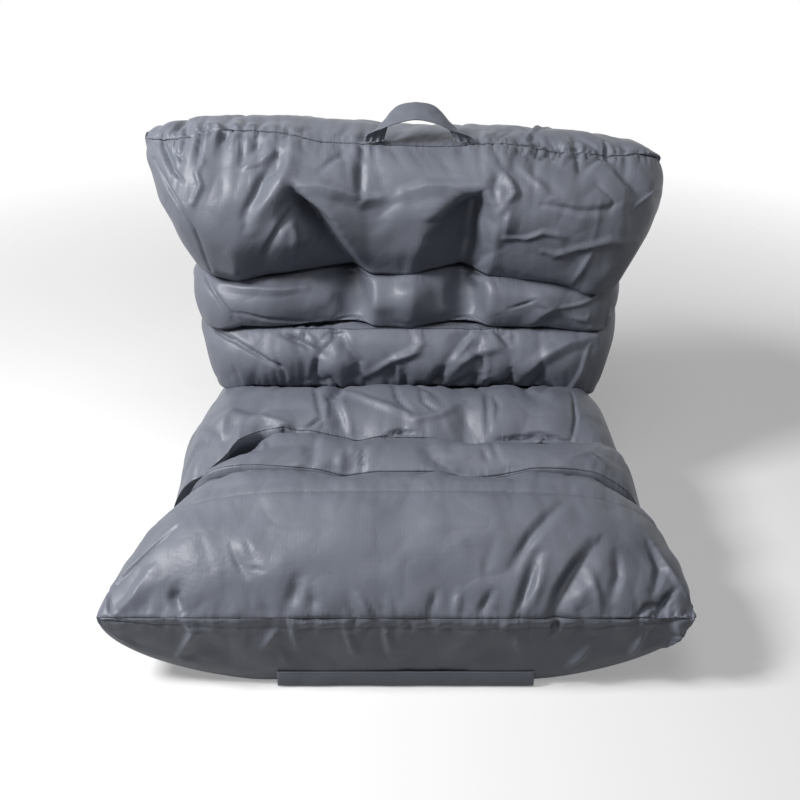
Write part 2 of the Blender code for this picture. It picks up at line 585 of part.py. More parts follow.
def main():
    clear_scene()
    nylon = finish_of("nylon_cover", NYLON, 0.38)
    beads = finish_of("bead_filling", (0.86, 0.87, 0.88), 0.85)
    tape = finish_of("zip_tape", (0.10, 0.11, 0.13), 0.70)
    coil = finish_of("zip_coil", (0.08, 0.085, 0.10), 0.45)

    rear_seat = Body("rear_seat", Vector())
    seat_roll = Body("seat_roll", Vector((0.0, *SEAT_SEAM)), rear_seat)
    front = Body("front_cushion", Vector((0.0, *KNEE_SEAM)), seat_roll)
    lower_lumbar = Body("lower_lumbar", Vector((0.0, *WAIST_SEAM)), rear_seat)
    upper_lumbar = Body("upper_lumbar", Vector((0.0, *LUMBAR_SEAM)), lower_lumbar)
    headrest = Body("headrest", Vector((0.0, *NECK_SEAM)), upper_lumbar)

    cell = front_cell()
    boxing_faces = cell.region("hem", -GUSSET_SHARE, GUSSET_SHARE)
    boxing_faces += cell.region("boxing", -GUSSET_SHARE, GUSSET_SHARE)
    boxing_faces += cell.region("boxing_top", -GUSSET_SHARE, GUSSET_SHARE)
    for span in ("lower_tape", "upper_tape"):
        boxing_faces += cell.region(span, -GUSSET_SHARE, -ZIP_END_SHARE)
        boxing_faces += cell.region(span, ZIP_END_SHARE, GUSSET_SHARE)
    front.add("front_boxing", covered(boxing_faces), nylon)
    slider = add_zip(front, cell, tape, coil, nylon)
    dress(front, cell, "front_filling",
          {"front_top_panel": ("top",), "front_rear_strip": ("strip",), "knee_partition": ("partition",),
           "front_base_panel": ("base",)},
          "front_gusset", tuple(cell.spans), nylon, beads)

    front.add("knee_seam_welt", welt_mesh(KNEE_SEAM, SEAT_ROLL_EDGE[0]), nylon)

    cell = seat_roll_cell()
    dress(seat_roll, cell, "seat_roll_filling",
          {"seat_roll_panel": ("seat",), "seat_partition": ("partition",), "seat_roll_base": ("base",)},
          "seat_roll_side", tuple(cell.spans), nylon, beads)

    seat_roll.add("seat_seam_welt", welt_mesh(SEAT_SEAM, REAR_SEAT_EDGE[0]), nylon)

    cell = rear_seat_cell()
    dress(rear_seat, cell, "rear_seat_filling",
          {"rear_seat_panel": ("seat",), "waist_partition": ("partition",), "rear_seat_back": ("rear",),
           "rear_seat_base": ("base",)},
          "rear_seat_side", tuple(cell.spans), nylon, beads)

    rear_seat.add("waist_seam_welt", welt_mesh(WAIST_SEAM, LOWER_LUMBAR_EDGE[0]), nylon)

    cell = lumbar_cell(LOWER_LUMBAR_EDGE, WAIST_SEAM, LUMBAR_SEAM, WAIST_WALL_OVER_DEG,
                       LUMBAR_WALL_UNDER_DEG, BACK_LOW_SHARE, BACK_MIDDLE_SHARE, LOWER_LUMBAR_CROWN)
    dress(lower_lumbar, cell, "lower_lumbar_filling",
          {"lower_lumbar_panel": ("seat",), "lumbar_partition": ("partition",), "lower_lumbar_back": ("back",)},
          "lower_lumbar_side", tuple(cell.spans), nylon, beads)

    lower_lumbar.add("lumbar_seam_welt", welt_mesh(LUMBAR_SEAM, UPPER_LUMBAR_EDGE[0]), nylon)

    cell = lumbar_cell(UPPER_LUMBAR_EDGE, LUMBAR_SEAM, NECK_SEAM, LUMBAR_WALL_OVER_DEG,
                       NECK_WALL_UNDER_DEG, BACK_MIDDLE_SHARE, BACK_HIGH_SHARE, UPPER_LUMBAR_CROWN)
    dress(upper_lumbar, cell, "upper_lumbar_filling",
          {"upper_lumbar_panel": ("seat",), "neck_partition": ("partition",), "upper_lumbar_back": ("back",)},
          "upper_lumbar_side", tuple(cell.spans), nylon, beads)

    upper_lumbar.add("neck_seam_welt", welt_mesh(NECK_SEAM, HEADREST_EDGE[0]), nylon)

    cell = headrest_cell()
    seam_top = cell.place(cell.rows[cell.spans["gusset"][0]], 0.0)
    dress(headrest, cell, "headrest_filling",
          {"headrest_panel": ("front",), "top_gusset": ("gusset",), "headrest_back": ("back",)},
          "headrest_side", tuple(cell.spans), nylon, beads)

    pivot = seam_top + Vector((HANDLE_OFFSET, 0.0, COVER_OUT + STRAP_THICK / 2 + RUN_GAP))
    handle = Body("handle", pivot, headrest)
    handle.add("carry_handle", handle_mesh(pivot), nylon, crease_deg=35.0)

    stand_on_origin([rear_seat, seat_roll, front, slider, lower_lumbar, upper_lumbar, headrest, handle])


main()
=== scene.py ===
import math

import bpy
import numpy as np
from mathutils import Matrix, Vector, noise


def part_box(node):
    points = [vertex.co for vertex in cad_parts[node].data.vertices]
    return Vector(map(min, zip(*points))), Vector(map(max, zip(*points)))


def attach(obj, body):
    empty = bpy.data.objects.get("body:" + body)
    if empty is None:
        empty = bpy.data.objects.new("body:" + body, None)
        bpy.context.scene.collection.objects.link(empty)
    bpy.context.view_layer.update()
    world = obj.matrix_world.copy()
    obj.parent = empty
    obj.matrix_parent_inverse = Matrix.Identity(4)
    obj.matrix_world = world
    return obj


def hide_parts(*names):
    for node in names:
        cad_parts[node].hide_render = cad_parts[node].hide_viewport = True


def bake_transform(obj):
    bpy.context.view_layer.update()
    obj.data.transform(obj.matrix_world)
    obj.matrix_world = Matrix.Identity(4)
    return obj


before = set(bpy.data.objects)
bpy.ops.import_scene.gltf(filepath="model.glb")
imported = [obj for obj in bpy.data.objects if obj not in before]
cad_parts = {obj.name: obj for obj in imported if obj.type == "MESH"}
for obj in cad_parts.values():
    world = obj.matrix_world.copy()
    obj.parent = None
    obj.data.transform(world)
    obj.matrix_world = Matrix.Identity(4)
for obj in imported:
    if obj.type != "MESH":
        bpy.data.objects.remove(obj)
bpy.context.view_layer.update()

# %% [markdown]
# # A reclining floor lounger
# The real piece is six fabric cells filled with foam beads and sewn in a chain. The frame that was just
# loaded has its hinges and its plain solids. Each step below makes one cell's cover or one fitting, in
# metres, in the same frame, and hides the solids it stands for.

# %% [markdown]
# ## Camera
# The eye of a photographer is about 1.4 m in front of the lounger and looks down at it by thirty degrees.
# A 50 mm lens keeps the front cushion from looking much larger than the headrest.

# %% Camera
LENS = 50.0
CAMERA_PLACE = (-0.0095, -1.871, 1.387)
LOOKS_DOWN = 30.0
camera_data = bpy.data.cameras.new("camera")
camera_data.lens = LENS
camera = bpy.data.objects.new("camera", camera_data)
bpy.context.collection.objects.link(camera)
camera.location = CAMERA_PLACE
camera.rotation_euler = (math.radians(90.0 - LOOKS_DOWN), 0.0, 0.0)
bpy.context.scene.camera = camera
print("camera at", tuple(round(value, 3) for value in camera.location))

# %% [markdown]
# ## Node maths
# A shader with more than a few nodes is easier to read as sums. This class wraps one output socket, and its
# operators add a Math or Vector Math node for each sign, so `a * 2 + b` makes two nodes and joins them.


# %% Node maths
class Socket:
    """An output socket that can be added, subtracted, multiplied, divided and raised to a power."""

    def __init__(self, nodes, output):
        self.nodes, self.output = nodes, output

    def maths(self, operation, other=None, swapped=False):
        """LENGTH gives a number from a vector. Everything else keeps the kind of what goes in."""
        if operation == "LENGTH":
            return self.nodes.add("ShaderNodeVectorMath", {"operation": operation}, self, output=1)
        pair = (other, self) if swapped else (self, other)
        vector = any(isinstance(part, Socket) and part.output.type == "VECTOR" for part in pair)
        kind = "ShaderNodeVectorMath" if vector else "ShaderNodeMath"
        return self.nodes.add(kind, {"operation": operation}, *(part for part in pair if part is not None))

    def __add__(self, other): return self.maths("ADD", other)
    def __radd__(self, other): return self.maths("ADD", other, True)
    def __sub__(self, other): return self.maths("SUBTRACT", other)
    def __rsub__(self, other): return self.maths("SUBTRACT", other, True)
    def __mul__(self, other): return self.maths("MULTIPLY", other)
    def __rmul__(self, other): return self.maths("MULTIPLY", other, True)
    def __truediv__(self, other): return self.maths("DIVIDE", other)
    def __pow__(self, other): return self.maths("POWER", other)


class Nodes:
    """One material's node tree, with a method that adds any node."""

    def __init__(self, name, colour, roughness, **constants):
        self.material = bpy.data.materials.new(name)
        self.material.use_nodes = True
        self.tree = self.material.node_tree
        self.shader = self.tree.nodes["Principled BSDF"]
        self.shader.inputs["Base Color"].default_value = (*colour, 1.0)
        self.shader.inputs["Roughness"].default_value = roughness
        for key, value in constants.items():
            self.shader.inputs[key.replace("_", " ")].default_value = value

    def add(self, kind, settings, *values, output=0, at=(), **named):
        """Settings come first, then sockets in their order, by number in at, or by name."""
        node = self.tree.nodes.new(kind)
        for key, value in settings.items():
            setattr(node, key, value)
        given = [*enumerate(values), *at]
        given += [(key.replace("_", " "), value) for key, value in named.items()]
        for key, value in given:
            if isinstance(value, Socket):
                self.tree.links.new(value.output, node.inputs[key])
            else:
                node.inputs[key].default_value = value
        return Socket(self, node.outputs[output])

    def place(self):
        """Where a point is on the object, in metres."""
        return self.add("ShaderNodeTexCoord", {}, output="Object")

    def noise(self, where, scale, detail=2.0, roughness=0.5):
        """Soft random spots from 0 to 1, as many in a metre as scale says."""
        return self.add("ShaderNodeTexNoise", {}, Vector=where, Scale=scale, Detail=detail,
                        Roughness=roughness)

    def ridges(self, where, scale, detail, height=2.0):
        """Noise folded at its middle value, so that it has sharp valleys."""
        return (self.noise(where, scale, detail) - 0.5).maths("ABSOLUTE") * height

    def waves(self, where, axis, scale):
        """Even ribs along one axis."""
        settings = {"wave_type": "BANDS", "bands_direction": axis}
        return self.add("ShaderNodeTexWave", settings, Vector=where, Scale=scale)

    def mix(self, factor, low, high):
        """A colour between two others. Sockets 6 and 7 are the node's colours, and output 2 is the result."""
        low, high = (value if isinstance(value, Socket) else (*value, 1.0) for value in (low, high))
        sockets = ((0, factor), (6, low), (7, high))
        return self.add("ShaderNodeMix", {"data_type": "RGBA"}, at=sockets, output=2)

    def feed(self, name, source):
        """Links a socket to the shader."""
        self.tree.links.new(source.output, self.shader.inputs[name])

    def bump(self, height, distance, strength=1.0, under=None):
        """Relief of the given height, on top of the relief under it."""
        more = {"Normal": under} if under else {}
        return self.add("ShaderNodeBump", {}, Height=height, Distance=distance, Strength=strength, **more)


print("node maths ready")

# %% [markdown]
# ## Coated nylon
# The cover is a tight plain-weave nylon with a slight gloss. Close up it shows a faint grid in the weave,
# further off it shows small hard creases from packing, and its blue-grey is never quite even. All of that is
# bump and colour from noise, because the large folds are real shape and come later. Sewn covers add short
# gathers at each seam and a dark line along it, which is painted shade of the seam's groove over the
# stitching. Both are found by a map that every cover carries.


# %% Coated nylon
NYLON_COLOUR = (0.148, 0.160, 0.196)
NYLON_ROUGHNESS, STRAP_ROUGHNESS = 0.47, 0.50
WEAVE_SCALE, WEAVE_DEPTH = 45.0, 0.00008  # this scale gives one rib of the weave every 7 mm
CREASE_SCALE, CREASE_DEPTH, STRAP_CREASE_DEPTH = 9.0, 0.0012, 0.0006
GRAIN_SCALE, GRAIN_DEPTH = 230.0, 0.0004
# the dark line of a seam is painted shade of its groove, laid over the stitching
SEAM_SHADE_HALF, STITCH_DEPTH = 0.0022, 0.0016  # half the width of the dark line of a seam, and its depth
GATHER_HEIGHT, GATHER_REACH, GATHERS_PER_METRE = 0.0040, 0.016, 60.0


def sewn_map(nodes):
    """How far from the nearest seam, where along it, and how strong that seam is, in its painted shade,
    groove and gathers.
    """
    maps = {name: nodes.add("ShaderNodeUVMap", {"uv_map": name}) for name in ("seam", "weight")}
    return [nodes.add("ShaderNodeSeparateXYZ", {}, maps[name], output=number)
            for name, number in (("seam", 0), ("seam", 1), ("weight", 0))]


def gathers(nodes, away, along, weight):
    """Small folds square to a seam, in patches, that die out away from it."""
    spot = nodes.add("ShaderNodeCombineXYZ", {}, along * GATHERS_PER_METRE, away * 18.0, 0.0)
    folds = nodes.ridges(spot, 1.0, 1.0, -2.0)
    patch = nodes.noise(nodes.add("ShaderNodeCombineXYZ", {}, along * 9.0, 3.0, 0.0), 1.0, 1.0, 0.5)
    patchy = ((patch - 0.42) * 5.0).maths("MAXIMUM", 0.15).maths("MINIMUM", 1.0)
    near = (away / -GATHER_REACH).maths("EXPONENT")
    return folds * patchy * near * weight


def nylon_finish(name, colour, roughness, crease_depth, sewn=False):
    """sewn adds the seams, each with a dark line of painted shade, from the map that tells how far a point is
    from its seam, and where along it.
    """
    nodes = Nodes(name, colour, roughness, Specular_IOR_Level=0.42)
    place = nodes.place()
    cloudy = nodes.noise(place, 5.0, 4.0, 0.6)
    darker = tuple(value * 0.86 for value in colour)
    lighter = tuple(value * 1.14 for value in colour)
    cloth_colour = nodes.mix(cloudy, darker, lighter)
    if sewn:
        away, along, weight = sewn_map(nodes)
        # a dark line at each seam: painted shade of the seam's groove over the stitching, also sunk below as
        # the groove itself
        seam_groove_and_shade = (1.0 - away / SEAM_SHADE_HALF).maths("MAXIMUM", 0.0) * weight
        cloth_colour = nodes.mix(seam_groove_and_shade, cloth_colour, tuple(value * 0.30 for value in colour))
    nodes.feed("Base Color", cloth_colour)
    streaks = nodes.noise(place, 38.0, 3.0, 0.6)
    nodes.feed("Roughness", streaks * 0.16 + (roughness - 0.08))

    weave = nodes.waves(place, "X", WEAVE_SCALE) + nodes.waves(place, "Z", WEAVE_SCALE)
    surface = nodes.bump(weave, WEAVE_DEPTH, 0.5)
    surface = nodes.bump(nodes.noise(place, GRAIN_SCALE, 2.0, 0.6), GRAIN_DEPTH, 0.6, under=surface)
    crumpled = nodes.noise(place, 4.5, 1.0).maths("POWER", 3.0) * nodes.ridges(place, 30.0, 2.0)
    surface = nodes.bump(crumpled, crease_depth * 2.2, under=surface)
    surface = nodes.bump(nodes.ridges(place, CREASE_SCALE, 2.0) ** 0.7, crease_depth, under=surface)
    surface = nodes.bump(nodes.ridges(place, CREASE_SCALE, 1.0), crease_depth * 3.0, under=surface)
    if sewn:
        surface = nodes.bump(gathers(nodes, away, along, weight), GATHER_HEIGHT, under=surface)
        surface = nodes.bump(seam_groove_and_shade * -1.0, STITCH_DEPTH, under=surface)
    nodes.feed("Normal", surface)
    return nodes.material


nylon = nylon_finish("coated_nylon", NYLON_COLOUR, NYLON_ROUGHNESS, CREASE_DEPTH)
sewn_nylon = nylon_finish("sewn_nylon", NYLON_COLOUR, NYLON_ROUGHNESS, CREASE_DEPTH, True)
strap_colour = tuple(value * 0.95 for value in NYLON_COLOUR)
strap_nylon = nylon_finish("strap_nylon", strap_colour, STRAP_ROUGHNESS, STRAP_CREASE_DEPTH)
print("nylon made")

# %% [markdown]
# ## Where the seams run
# Two cells meet in each cross seam, and the seam is a hinge of the frame. Its place is read from the rolled
# allowance there, so the covers and the hinges can't drift apart. Every seam is a pair here: how far back it
# lies, and how high. The seams that are no hinges, and so aren't in the frame, are given here.

# %% Seams
FRONT_Y = -0.4509  # where depth 0 lies in the frame
FLOOR = 0.0012  # the base panels lie just above the floor


def seam(node):
    """Depth and height of a cross seam."""
    low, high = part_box(node)
    return np.array([(low.y + high.y) / 2 - FRONT_Y, (low.z + high.z) / 2])


KNEE, SEAT, WAIST = (seam(node) for node in ("knee_seam_welt", "seat_seam_welt", "waist_seam_welt"))
LUMBAR, NECK = seam("lumbar_seam_welt"), seam("neck_seam_welt")
# the front seam, the flat stitched line of the front cushion and the top seam of the headrest
FRONT, STITCH, TOP = np.array([-0.022, 0.163]), np.array([0.160, 0.294]), np.array([0.672, 0.757])
print("seams", [tuple(np.round(place, 3)) for place in (KNEE, SEAT, WAIST, LUMBAR, NECK)])

# %% [markdown]
# ## A cover as a grid of points
# A cushion could be carved from a box, but a grid has a great gift: rows run round the cell from seam to seam
# and columns run across it, so each later step knows how far a point is from each seam. Towards its sides
# each row falls back to the side seam, as a filled pillow does.


# %% The cover grid
def bulge(start, end, crown, steps, power=0.8):
    """Points from start up to, but not including, end, that bulge to the left of the way."""
    start, end = np.asarray(start, float), np.asarray(end, float)
    share = np.arange(steps) / steps
    way = end - start
    side = np.array([-way[1], way[0]]) / np.linalg.norm(way)
    return start + share[:, None] * way + (crown * np.sin(np.pi * share) ** power)[:, None] * side


def crowded(count, crowd=0.85):
    """Column places from -1 to 1, closer together towards the sides."""
    even = np.linspace(-1.0, 1.0, count)
    return np.sin(even * math.pi / 2 * crowd) / math.sin(math.pi / 2 * crowd)


def on_edge(edge, share):
    """Points of a side seam: a curve through three given ones."""
    low, middle, high = np.asarray(edge, float)
    share = share[:, None]
    return (low * (1 - share) * (1 - 2 * share) + middle * 4 * share * (1 - share)
            + high * share * (2 * share - 1))


class Cover:
    """The cover of one cell: panels of rows, each row with its share of the side seam and its own fall.

    left and right are the side seams, each as three points: how far from the middle, how deep and how high.
    """

    def __init__(self, left, right, columns, left_square=1.0):
        self.left, self.right, self.columns = left, right, crowded(columns)
        self.inside = 1 - np.abs(self.columns) ** 16  # 0 at the two ends, where the panels are sewn together
        self.left_square = left_square
        self.lines, self.edge_share, self.falls, self.spans = [], [], [], {}

    def panel(self, name, line, edge_from, edge_to, fall_from, fall_to=None):
        """A fall is a pair: the share of the half width where a row starts to fall back, and how squarely."""
        rows = len(line)
        share = np.arange(rows) / rows
        first = sum(len(other) for other in self.lines)
        self.spans[name] = (first, first + rows)
        fall_to = fall_to or fall_from
        self.lines.append(line)
        self.edge_share.append(edge_from + (edge_to - edge_from) * share)
        self.falls.append(np.outer(1 - share, fall_from) + np.outer(share, fall_to))

    def rows(self, *names):
        """True for the rows of the named panels."""
        chosen = np.zeros(sum(len(line) for line in self.lines), bool)
        for name in names:
            first, last = self.spans[name]
            chosen[first:last] = True
        return chosen

    def points(self):
        """Every point of the cover: its row's line in the middle, its side seam at the ends."""
        line, falls = np.vstack(self.lines), np.vstack(self.falls)
        share = np.hstack(self.edge_share)
        left, right = on_edge(self.left, share), on_edge(self.right, share)
        middle = (right[:, :1] - left[:, :1]) / 2
        column = self.columns[None, :]
        edge = np.where(column < 0, left[:, :1], right[:, :1])
        depth = np.where(column < 0, left[:, 1:2], right[:, 1:2])
        height = np.where(column < 0, left[:, 2:3], right[:, 2:3])
        start, power = falls[:, :1], falls[:, 1:2] * np.where(column < 0, self.left_square, 1.0)
        reach = np.clip((np.abs(column) - start) / (1 - start), 0, 1)
        fall = 1 - np.sqrt(np.clip(1 - reach ** power, 0, 1))
        across = middle * (1 - np.abs(column)) + edge * column
        back = line[:, :1] + (depth - line[:, :1]) * fall
        up = line[:, 1:2] + (height - line[:, 1:2]) * fall
        return np.stack([across, back + FRONT_Y, up], 2)


def normals(grid):
    """Which way is out at each point of a grid whose rows close on themselves."""
    across = np.empty_like(grid)
    across[:, 1:-1] = grid[:, 2:] - grid[:, :-2]
    across[:, 0], across[:, -1] = grid[:, 1] - grid[:, 0], grid[:, -1] - grid[:, -2]
    round_it = np.roll(grid, -1, 0) - np.roll(grid, 1, 0)
    out = np.cross(across, round_it)
    return out / np.maximum(np.linalg.norm(out, axis=2, keepdims=True), 1e-9)


def lift(grid, cover, seam, table, reach=7):
    """Raises a seam: table holds (x, rise), and the rows beside the seam follow it less and less."""
    rows = np.arange(len(grid))
    away = np.minimum((rows - seam) % len(rows), (seam - rows) % len(rows))
    follow = np.clip(1 - away / reach, 0, 1)[:, None] * cover.inside
    grid[:, :, 2] += follow * np.interp(grid[:, :, 0], *zip(*table))


def numbered(rows, columns):
    """The number of each point of a grid."""
    return np.arange(rows * columns).reshape(rows, columns)


def squares(here, after):
    """Faces between each row of point numbers and the row after it."""
    return np.stack([here[:, :-1], here[:, 1:], after[:, 1:], after[:, :-1]], 2).reshape(-1, 4).tolist()


def mesh_object(name, grid, faces):
    """A mesh from a grid of points, linked into the scene."""
    data = bpy.data.meshes.new(name)
    data.from_pydata(grid.reshape(-1, 3).tolist(), [], faces)
    made = bpy.data.objects.new(name, data)
    bpy.context.collection.objects.link(made)
    return made


def closed_mesh(name, grid):
    """A mesh over a grid whose last row meets its first."""
    here = numbered(*grid.shape[:2])
    return mesh_object(name, grid, squares(here, np.roll(here, -1, 0)))


print("grid tools ready")

# %% [markdown]
# ## Filling a cover
# A real cover is cut a little larger than the beads that fill it, so it buckles into folds between its seams.
# Blender's cloth does the same when its rest shape is wider than the shape it starts from. The seams are
# pinned, a light pressure swells the fabric for twenty frames, and a cap keeps any point from wandering off.


# %% Cloth
FRAMES, PRESSURE, BENDING, TENSION = 20, 3.0, 1.5, 20.0
FURTHEST = 0.026  # no point of a cloth ends further than this from where it started
START_ROUGHNESS = 0.0012  # the cloth starts a little uneven, so that it can buckle
DEPTH_EASE = 1.03


def pins_for(cover, grid, *panels, rows=()):
    """Sewn points: all of the given panels, the given rows, and both side seams."""
    pinned = np.zeros(grid.shape[:2], bool)
    pinned[cover.rows(*panels)] = True
    pinned[list(rows)] = True
    pinned[:, 0] = pinned[:, -1] = True
    return pinned


def filled(name, grid, pinned, ease, seed=1):
    """The grid after its cloth has swelled: ease is the extra width of each row."""
    made = closed_mesh(name + "_cloth", grid)
    chance = np.random.default_rng(seed)
    rough = chance.normal(0, 1.0, grid.shape)
    for _ in range(6):
        rough[:, 1:-1] = (rough[:, :-2] + rough[:, 1:-1] + rough[:, 2:]) / 3
        rough = (np.roll(rough, 1, 0) + rough + np.roll(rough, -1, 0)) / 3
    start = grid + rough / rough.std() * START_ROUGHNESS * (~pinned)[:, :, None]
    made.data.vertices.foreach_set("co", start.reshape(-1))
    rest = grid.copy()
    middle = grid.reshape(-1, 3).mean(0)
    rest[:, :, 0] *= 1 + np.asarray(ease)[:, None]
    rest[:, :, 1:] = middle[1:] + (rest[:, :, 1:] - middle[1:]) * DEPTH_EASE
    sewn = made.vertex_groups.new(name="sewn")
    sewn.add(np.nonzero(pinned.reshape(-1))[0].tolist(), 1.0, "REPLACE")
    made.shape_key_add(name="Basis")
    slack = made.shape_key_add(name="Slack")
    slack.data.foreach_set("co", rest.reshape(-1))
    cloth = made.modifiers.new("cloth", "CLOTH")
    settings = cloth.settings
    settings.quality = 6
    settings.mass = 0.15
    settings.tension_stiffness = settings.compression_stiffness = TENSION
    settings.shear_stiffness = TENSION * 0.4
    settings.bending_stiffness = BENDING
    settings.use_pressure = True
    settings.uniform_pressure_force = PRESSURE
    settings.effector_weights.gravity = 0
    settings.vertex_group_mass = "sewn"
    settings.rest_shape_key = slack
    cloth.collision_settings.use_collision = False
    cloth.point_cache.frame_start, cloth.point_cache.frame_end = 1, FRAMES
    for number in range(1, FRAMES + 1):
        bpy.context.scene.frame_set(number)
    settled = made.evaluated_get(bpy.context.evaluated_depsgraph_get())
    found = np.empty(grid.size)
    settled.data.vertices.foreach_get("co", found)
    move = found.reshape(grid.shape) - grid
    distance = np.linalg.norm(move, axis=2, keepdims=True)
    bpy.data.objects.remove(made)
    bpy.context.scene.frame_set(1)
    print(name, "moved up to", round(float(distance.max()) * 1000), "mm")
    return grid + move * (FURTHEST * np.tanh(distance / FURTHEST) / np.maximum(distance, 1e-9))


print("cloth ready")

# %% [markdown]
# ## A finer grid
# One round of subdivision halves the grid's step, which the small folds at the seams need. It is done on the
# grid itself, so that rows and columns keep their numbers, and rows that are seams stay sharp.


# %% Subdivision
def finer(grid, sharp_rows):
    """One step of cubic subdivision. Rows close on themselves, and sharp rows and both sides stay put."""
    before, after = np.roll(grid, 1, 0), np.roll(grid, -1, 0)
    kept = 0.75 * grid + 0.125 * (before + after)
    kept[sharp_rows] = grid[sharp_rows]
    halfway = (grid + after) / 2
    tall = np.empty((2 * len(grid), *grid.shape[1:]))
    tall[0::2], tall[1::2] = kept, halfway
    wide = np.empty((len(tall), 2 * grid.shape[1] - 1, 3))
    wide[:, 0::2] = tall
    wide[:, 2:-2:2] = 0.75 * tall[:, 1:-1] + 0.125 * (tall[:, :-2] + tall[:, 2:])
    wide[:, 1::2] = (tall[:, :-1] + tall[:, 1:]) / 2
    return wide


class Fine:
    """A cover after its cloth: a finer grid, with each point's distance from the seams and across."""

    def __init__(self, cover, grid, sharp):
        starts = [first for first, last in cover.spans.values()]
        self.spans = {name: (2 * first, 2 * last) for name, (first, last) in cover.spans.items()}
        self.grid = finer(grid, sorted(set(starts) | set(sharp)))
        middle = self.grid.shape[1] // 2
        line = self.grid[:, middle]
        step = np.linalg.norm(np.roll(line, -1, 0) - line, axis=1)
        self.along = np.concatenate([[0.0], np.cumsum(step)[:-1]])
        self.round = step.sum()
        self.out = normals(self.grid)
        self.across = self.grid[:, :, 0]

    def push(self, amount):
        """Moves each point out along the surface's own normal, or in where the amount is negative."""
        self.grid = self.grid + self.out * amount[:, :, None]

    def from_row(self, row):
        """How far each row lies from one row, round the shorter way."""
        off = np.abs(self.along - self.along[row])
        return np.minimum(off, self.round - off)

    def start_of(self, name):
        """The first row of a panel."""
        return self.spans[name][0]


def side_fade(fine, width=0.03):
    """1 over most of the width, 0 at both side seams."""
    share = np.linspace(-1.0, 1.0, fine.grid.shape[1])
    return np.clip((1 - np.abs(share)) / width, 0, 1) ** 0.5


print("fine grid ready")

# %% [markdown]
# ## Puckers and folds
# Where fabric is gathered into a seam it stands in short folds, sharp in the valleys and round on the ridges,
# which join into fewer and wider ones away from the seam. Larger folds and tucks each follow a line of their
# own. Both are pushed in along the surface's normals.


# %% Puckers
# each layer of gathers is wider, reaches further and stands higher than the one before, in times of the first
PUCKER_LAYERS = ((1.0, 1.0, 1.0), (2.4, 2.8, 1.25), (5.5, 6.5, 1.5))


def field(across, along, seed):
    """Smooth random heights from -1 to 1, one for each point of a grid."""
    shape = np.broadcast(across, along).shape
    across, along = (np.broadcast_to(part, shape).reshape(-1).tolist() for part in (across, along))
    return np.array([noise.noise((u, v, seed * 7.31)) for u, v in zip(across, along)]).reshape(shape)


def creased(heights, sharp=2.6):
    """Turns smooth heights into round ridges with sharp valleys between them, from -1 to about 0.4."""
    return 0.4 - 1.4 * np.clip(1 - np.abs(heights) * sharp, 0, 1) ** 1.6


def puckers(fine, row, depth, reach, spacing, seed, strong=(), even=1.0, weights=(1.0, 1.0, 0.9)):
    """Gathers along a seam, with depth, reach and spacing in metres.

    strong holds (place, half width, strength) where they are deeper, and weights are the layers' shares.
    """
    distance = fine.from_row(row)[:, None]
    across = fine.across
    size = even * (0.55 + 0.9 * np.abs(field(fine.grid[row, :, 0] * 7.0, 0.0, seed)))
    for place, half, strength in strong:
        size = size + strength * np.exp(-(((fine.grid[row, :, 0] - place) / half) ** 2))
    lean = field(across * 5.0, 0.0 * distance, seed + 1) * 0.9
    wander = across + distance * lean + 0.012 * field(across * 11.0, distance * 14.0, seed + 2)
    total = 0.0
    for number, (wider, further, higher) in enumerate(PUCKER_LAYERS):
        step = spacing * wider
        layer = creased(field(wander / step, distance / (step * 3.5), seed + 3 + number))
        fading = np.exp(-((distance / (reach * further)) ** 1.4))
        total = total + weights[number] * higher * layer * fading
    sewn = 1 - np.exp(-((distance / 0.006) ** 1.2))
    fine.push(depth * total * size[None, :] * sewn * side_fade(fine)[None, :])


def topstitch(fine, row, offset, depth, width):
    """A narrow groove along a seam, or at a distance from it."""
    place = fine.along[row] + offset
    off = np.abs(fine.along - place % fine.round)
    off = np.minimum(off, fine.round - off)
    fine.push(-depth * np.exp(-((off / width) ** 2))[:, None] * side_fade(fine)[None, :])


def lumps(fine, depth, size, seed, *names):
    """Low, wide unevenness, as loose beads give."""
    weight = np.zeros(len(fine.grid))
    for name in names:
        first, last = fine.spans[name]
        weight[first:last] = np.sin(np.pi * np.arange(last - first) / (last - first)) ** 0.7
    heights = field(fine.across / size, fine.along[:, None] / size, seed)
    heights = heights + 0.5 * field(fine.across / size * 2.1, fine.along[:, None] / size * 2.1, seed + 1)
    fine.push(depth * heights * weight[:, None] * side_fade(fine, 0.15)[None, :])


def creases(fine, count, seed, depth, names, lean=0.5):
    """Short sharp creases scattered over some panels, mostly upright, as packed nylon keeps."""
    chance = np.random.default_rng(seed)
    first = min(fine.spans[name][0] for name in names)
    last = max(fine.spans[name][1] for name in names) - 1
    top, foot = fine.along[first], fine.along[last]
    total = np.zeros(fine.across.shape)
    for _ in range(count):
        centre = chance.uniform(fine.across[first].min() * 0.92, fine.across[first].max() * 0.92)
        along = chance.uniform(top, foot)
        turn = chance.normal(0, lean)
        half = chance.uniform(0.02, 0.07)
        width = chance.uniform(0.006, 0.020)
        off_x, off_y = fine.across - centre, fine.along[:, None] - along
        run = off_x * math.sin(turn) + off_y * math.cos(turn)
        off = off_x * math.cos(turn) - off_y * math.sin(turn) + chance.uniform(-2.5, 2.5) * run ** 2
        window = np.clip(1 - (run / half) ** 2, 0, 1)
        one_side = np.where(off > 0, 1.0, chance.uniform(1.2, 3.0))
        total += chance.choice((-1.0, 1.0), p=(0.6, 0.4)) * chance.uniform(0.3, 1.0) * window * np.exp(
            -np.abs(off) / (width * one_side))
    inside = np.zeros(len(fine.grid))
    span = fine.along[first:last + 1]
    inside[first:last + 1] = np.clip(np.minimum(span - top, foot - span) / 0.012, 0, 1)
    fine.push(depth * total * inside[:, None] * side_fade(fine)[None, :])


print("pucker tools ready")

# %% [markdown]
# ## Folds that can be seen
# The large folds are what makes this lounger look like itself, so they are placed one by one. Each is a line
# of a few points, given by where it shows in the photograph. The camera turns those into places on the cover.


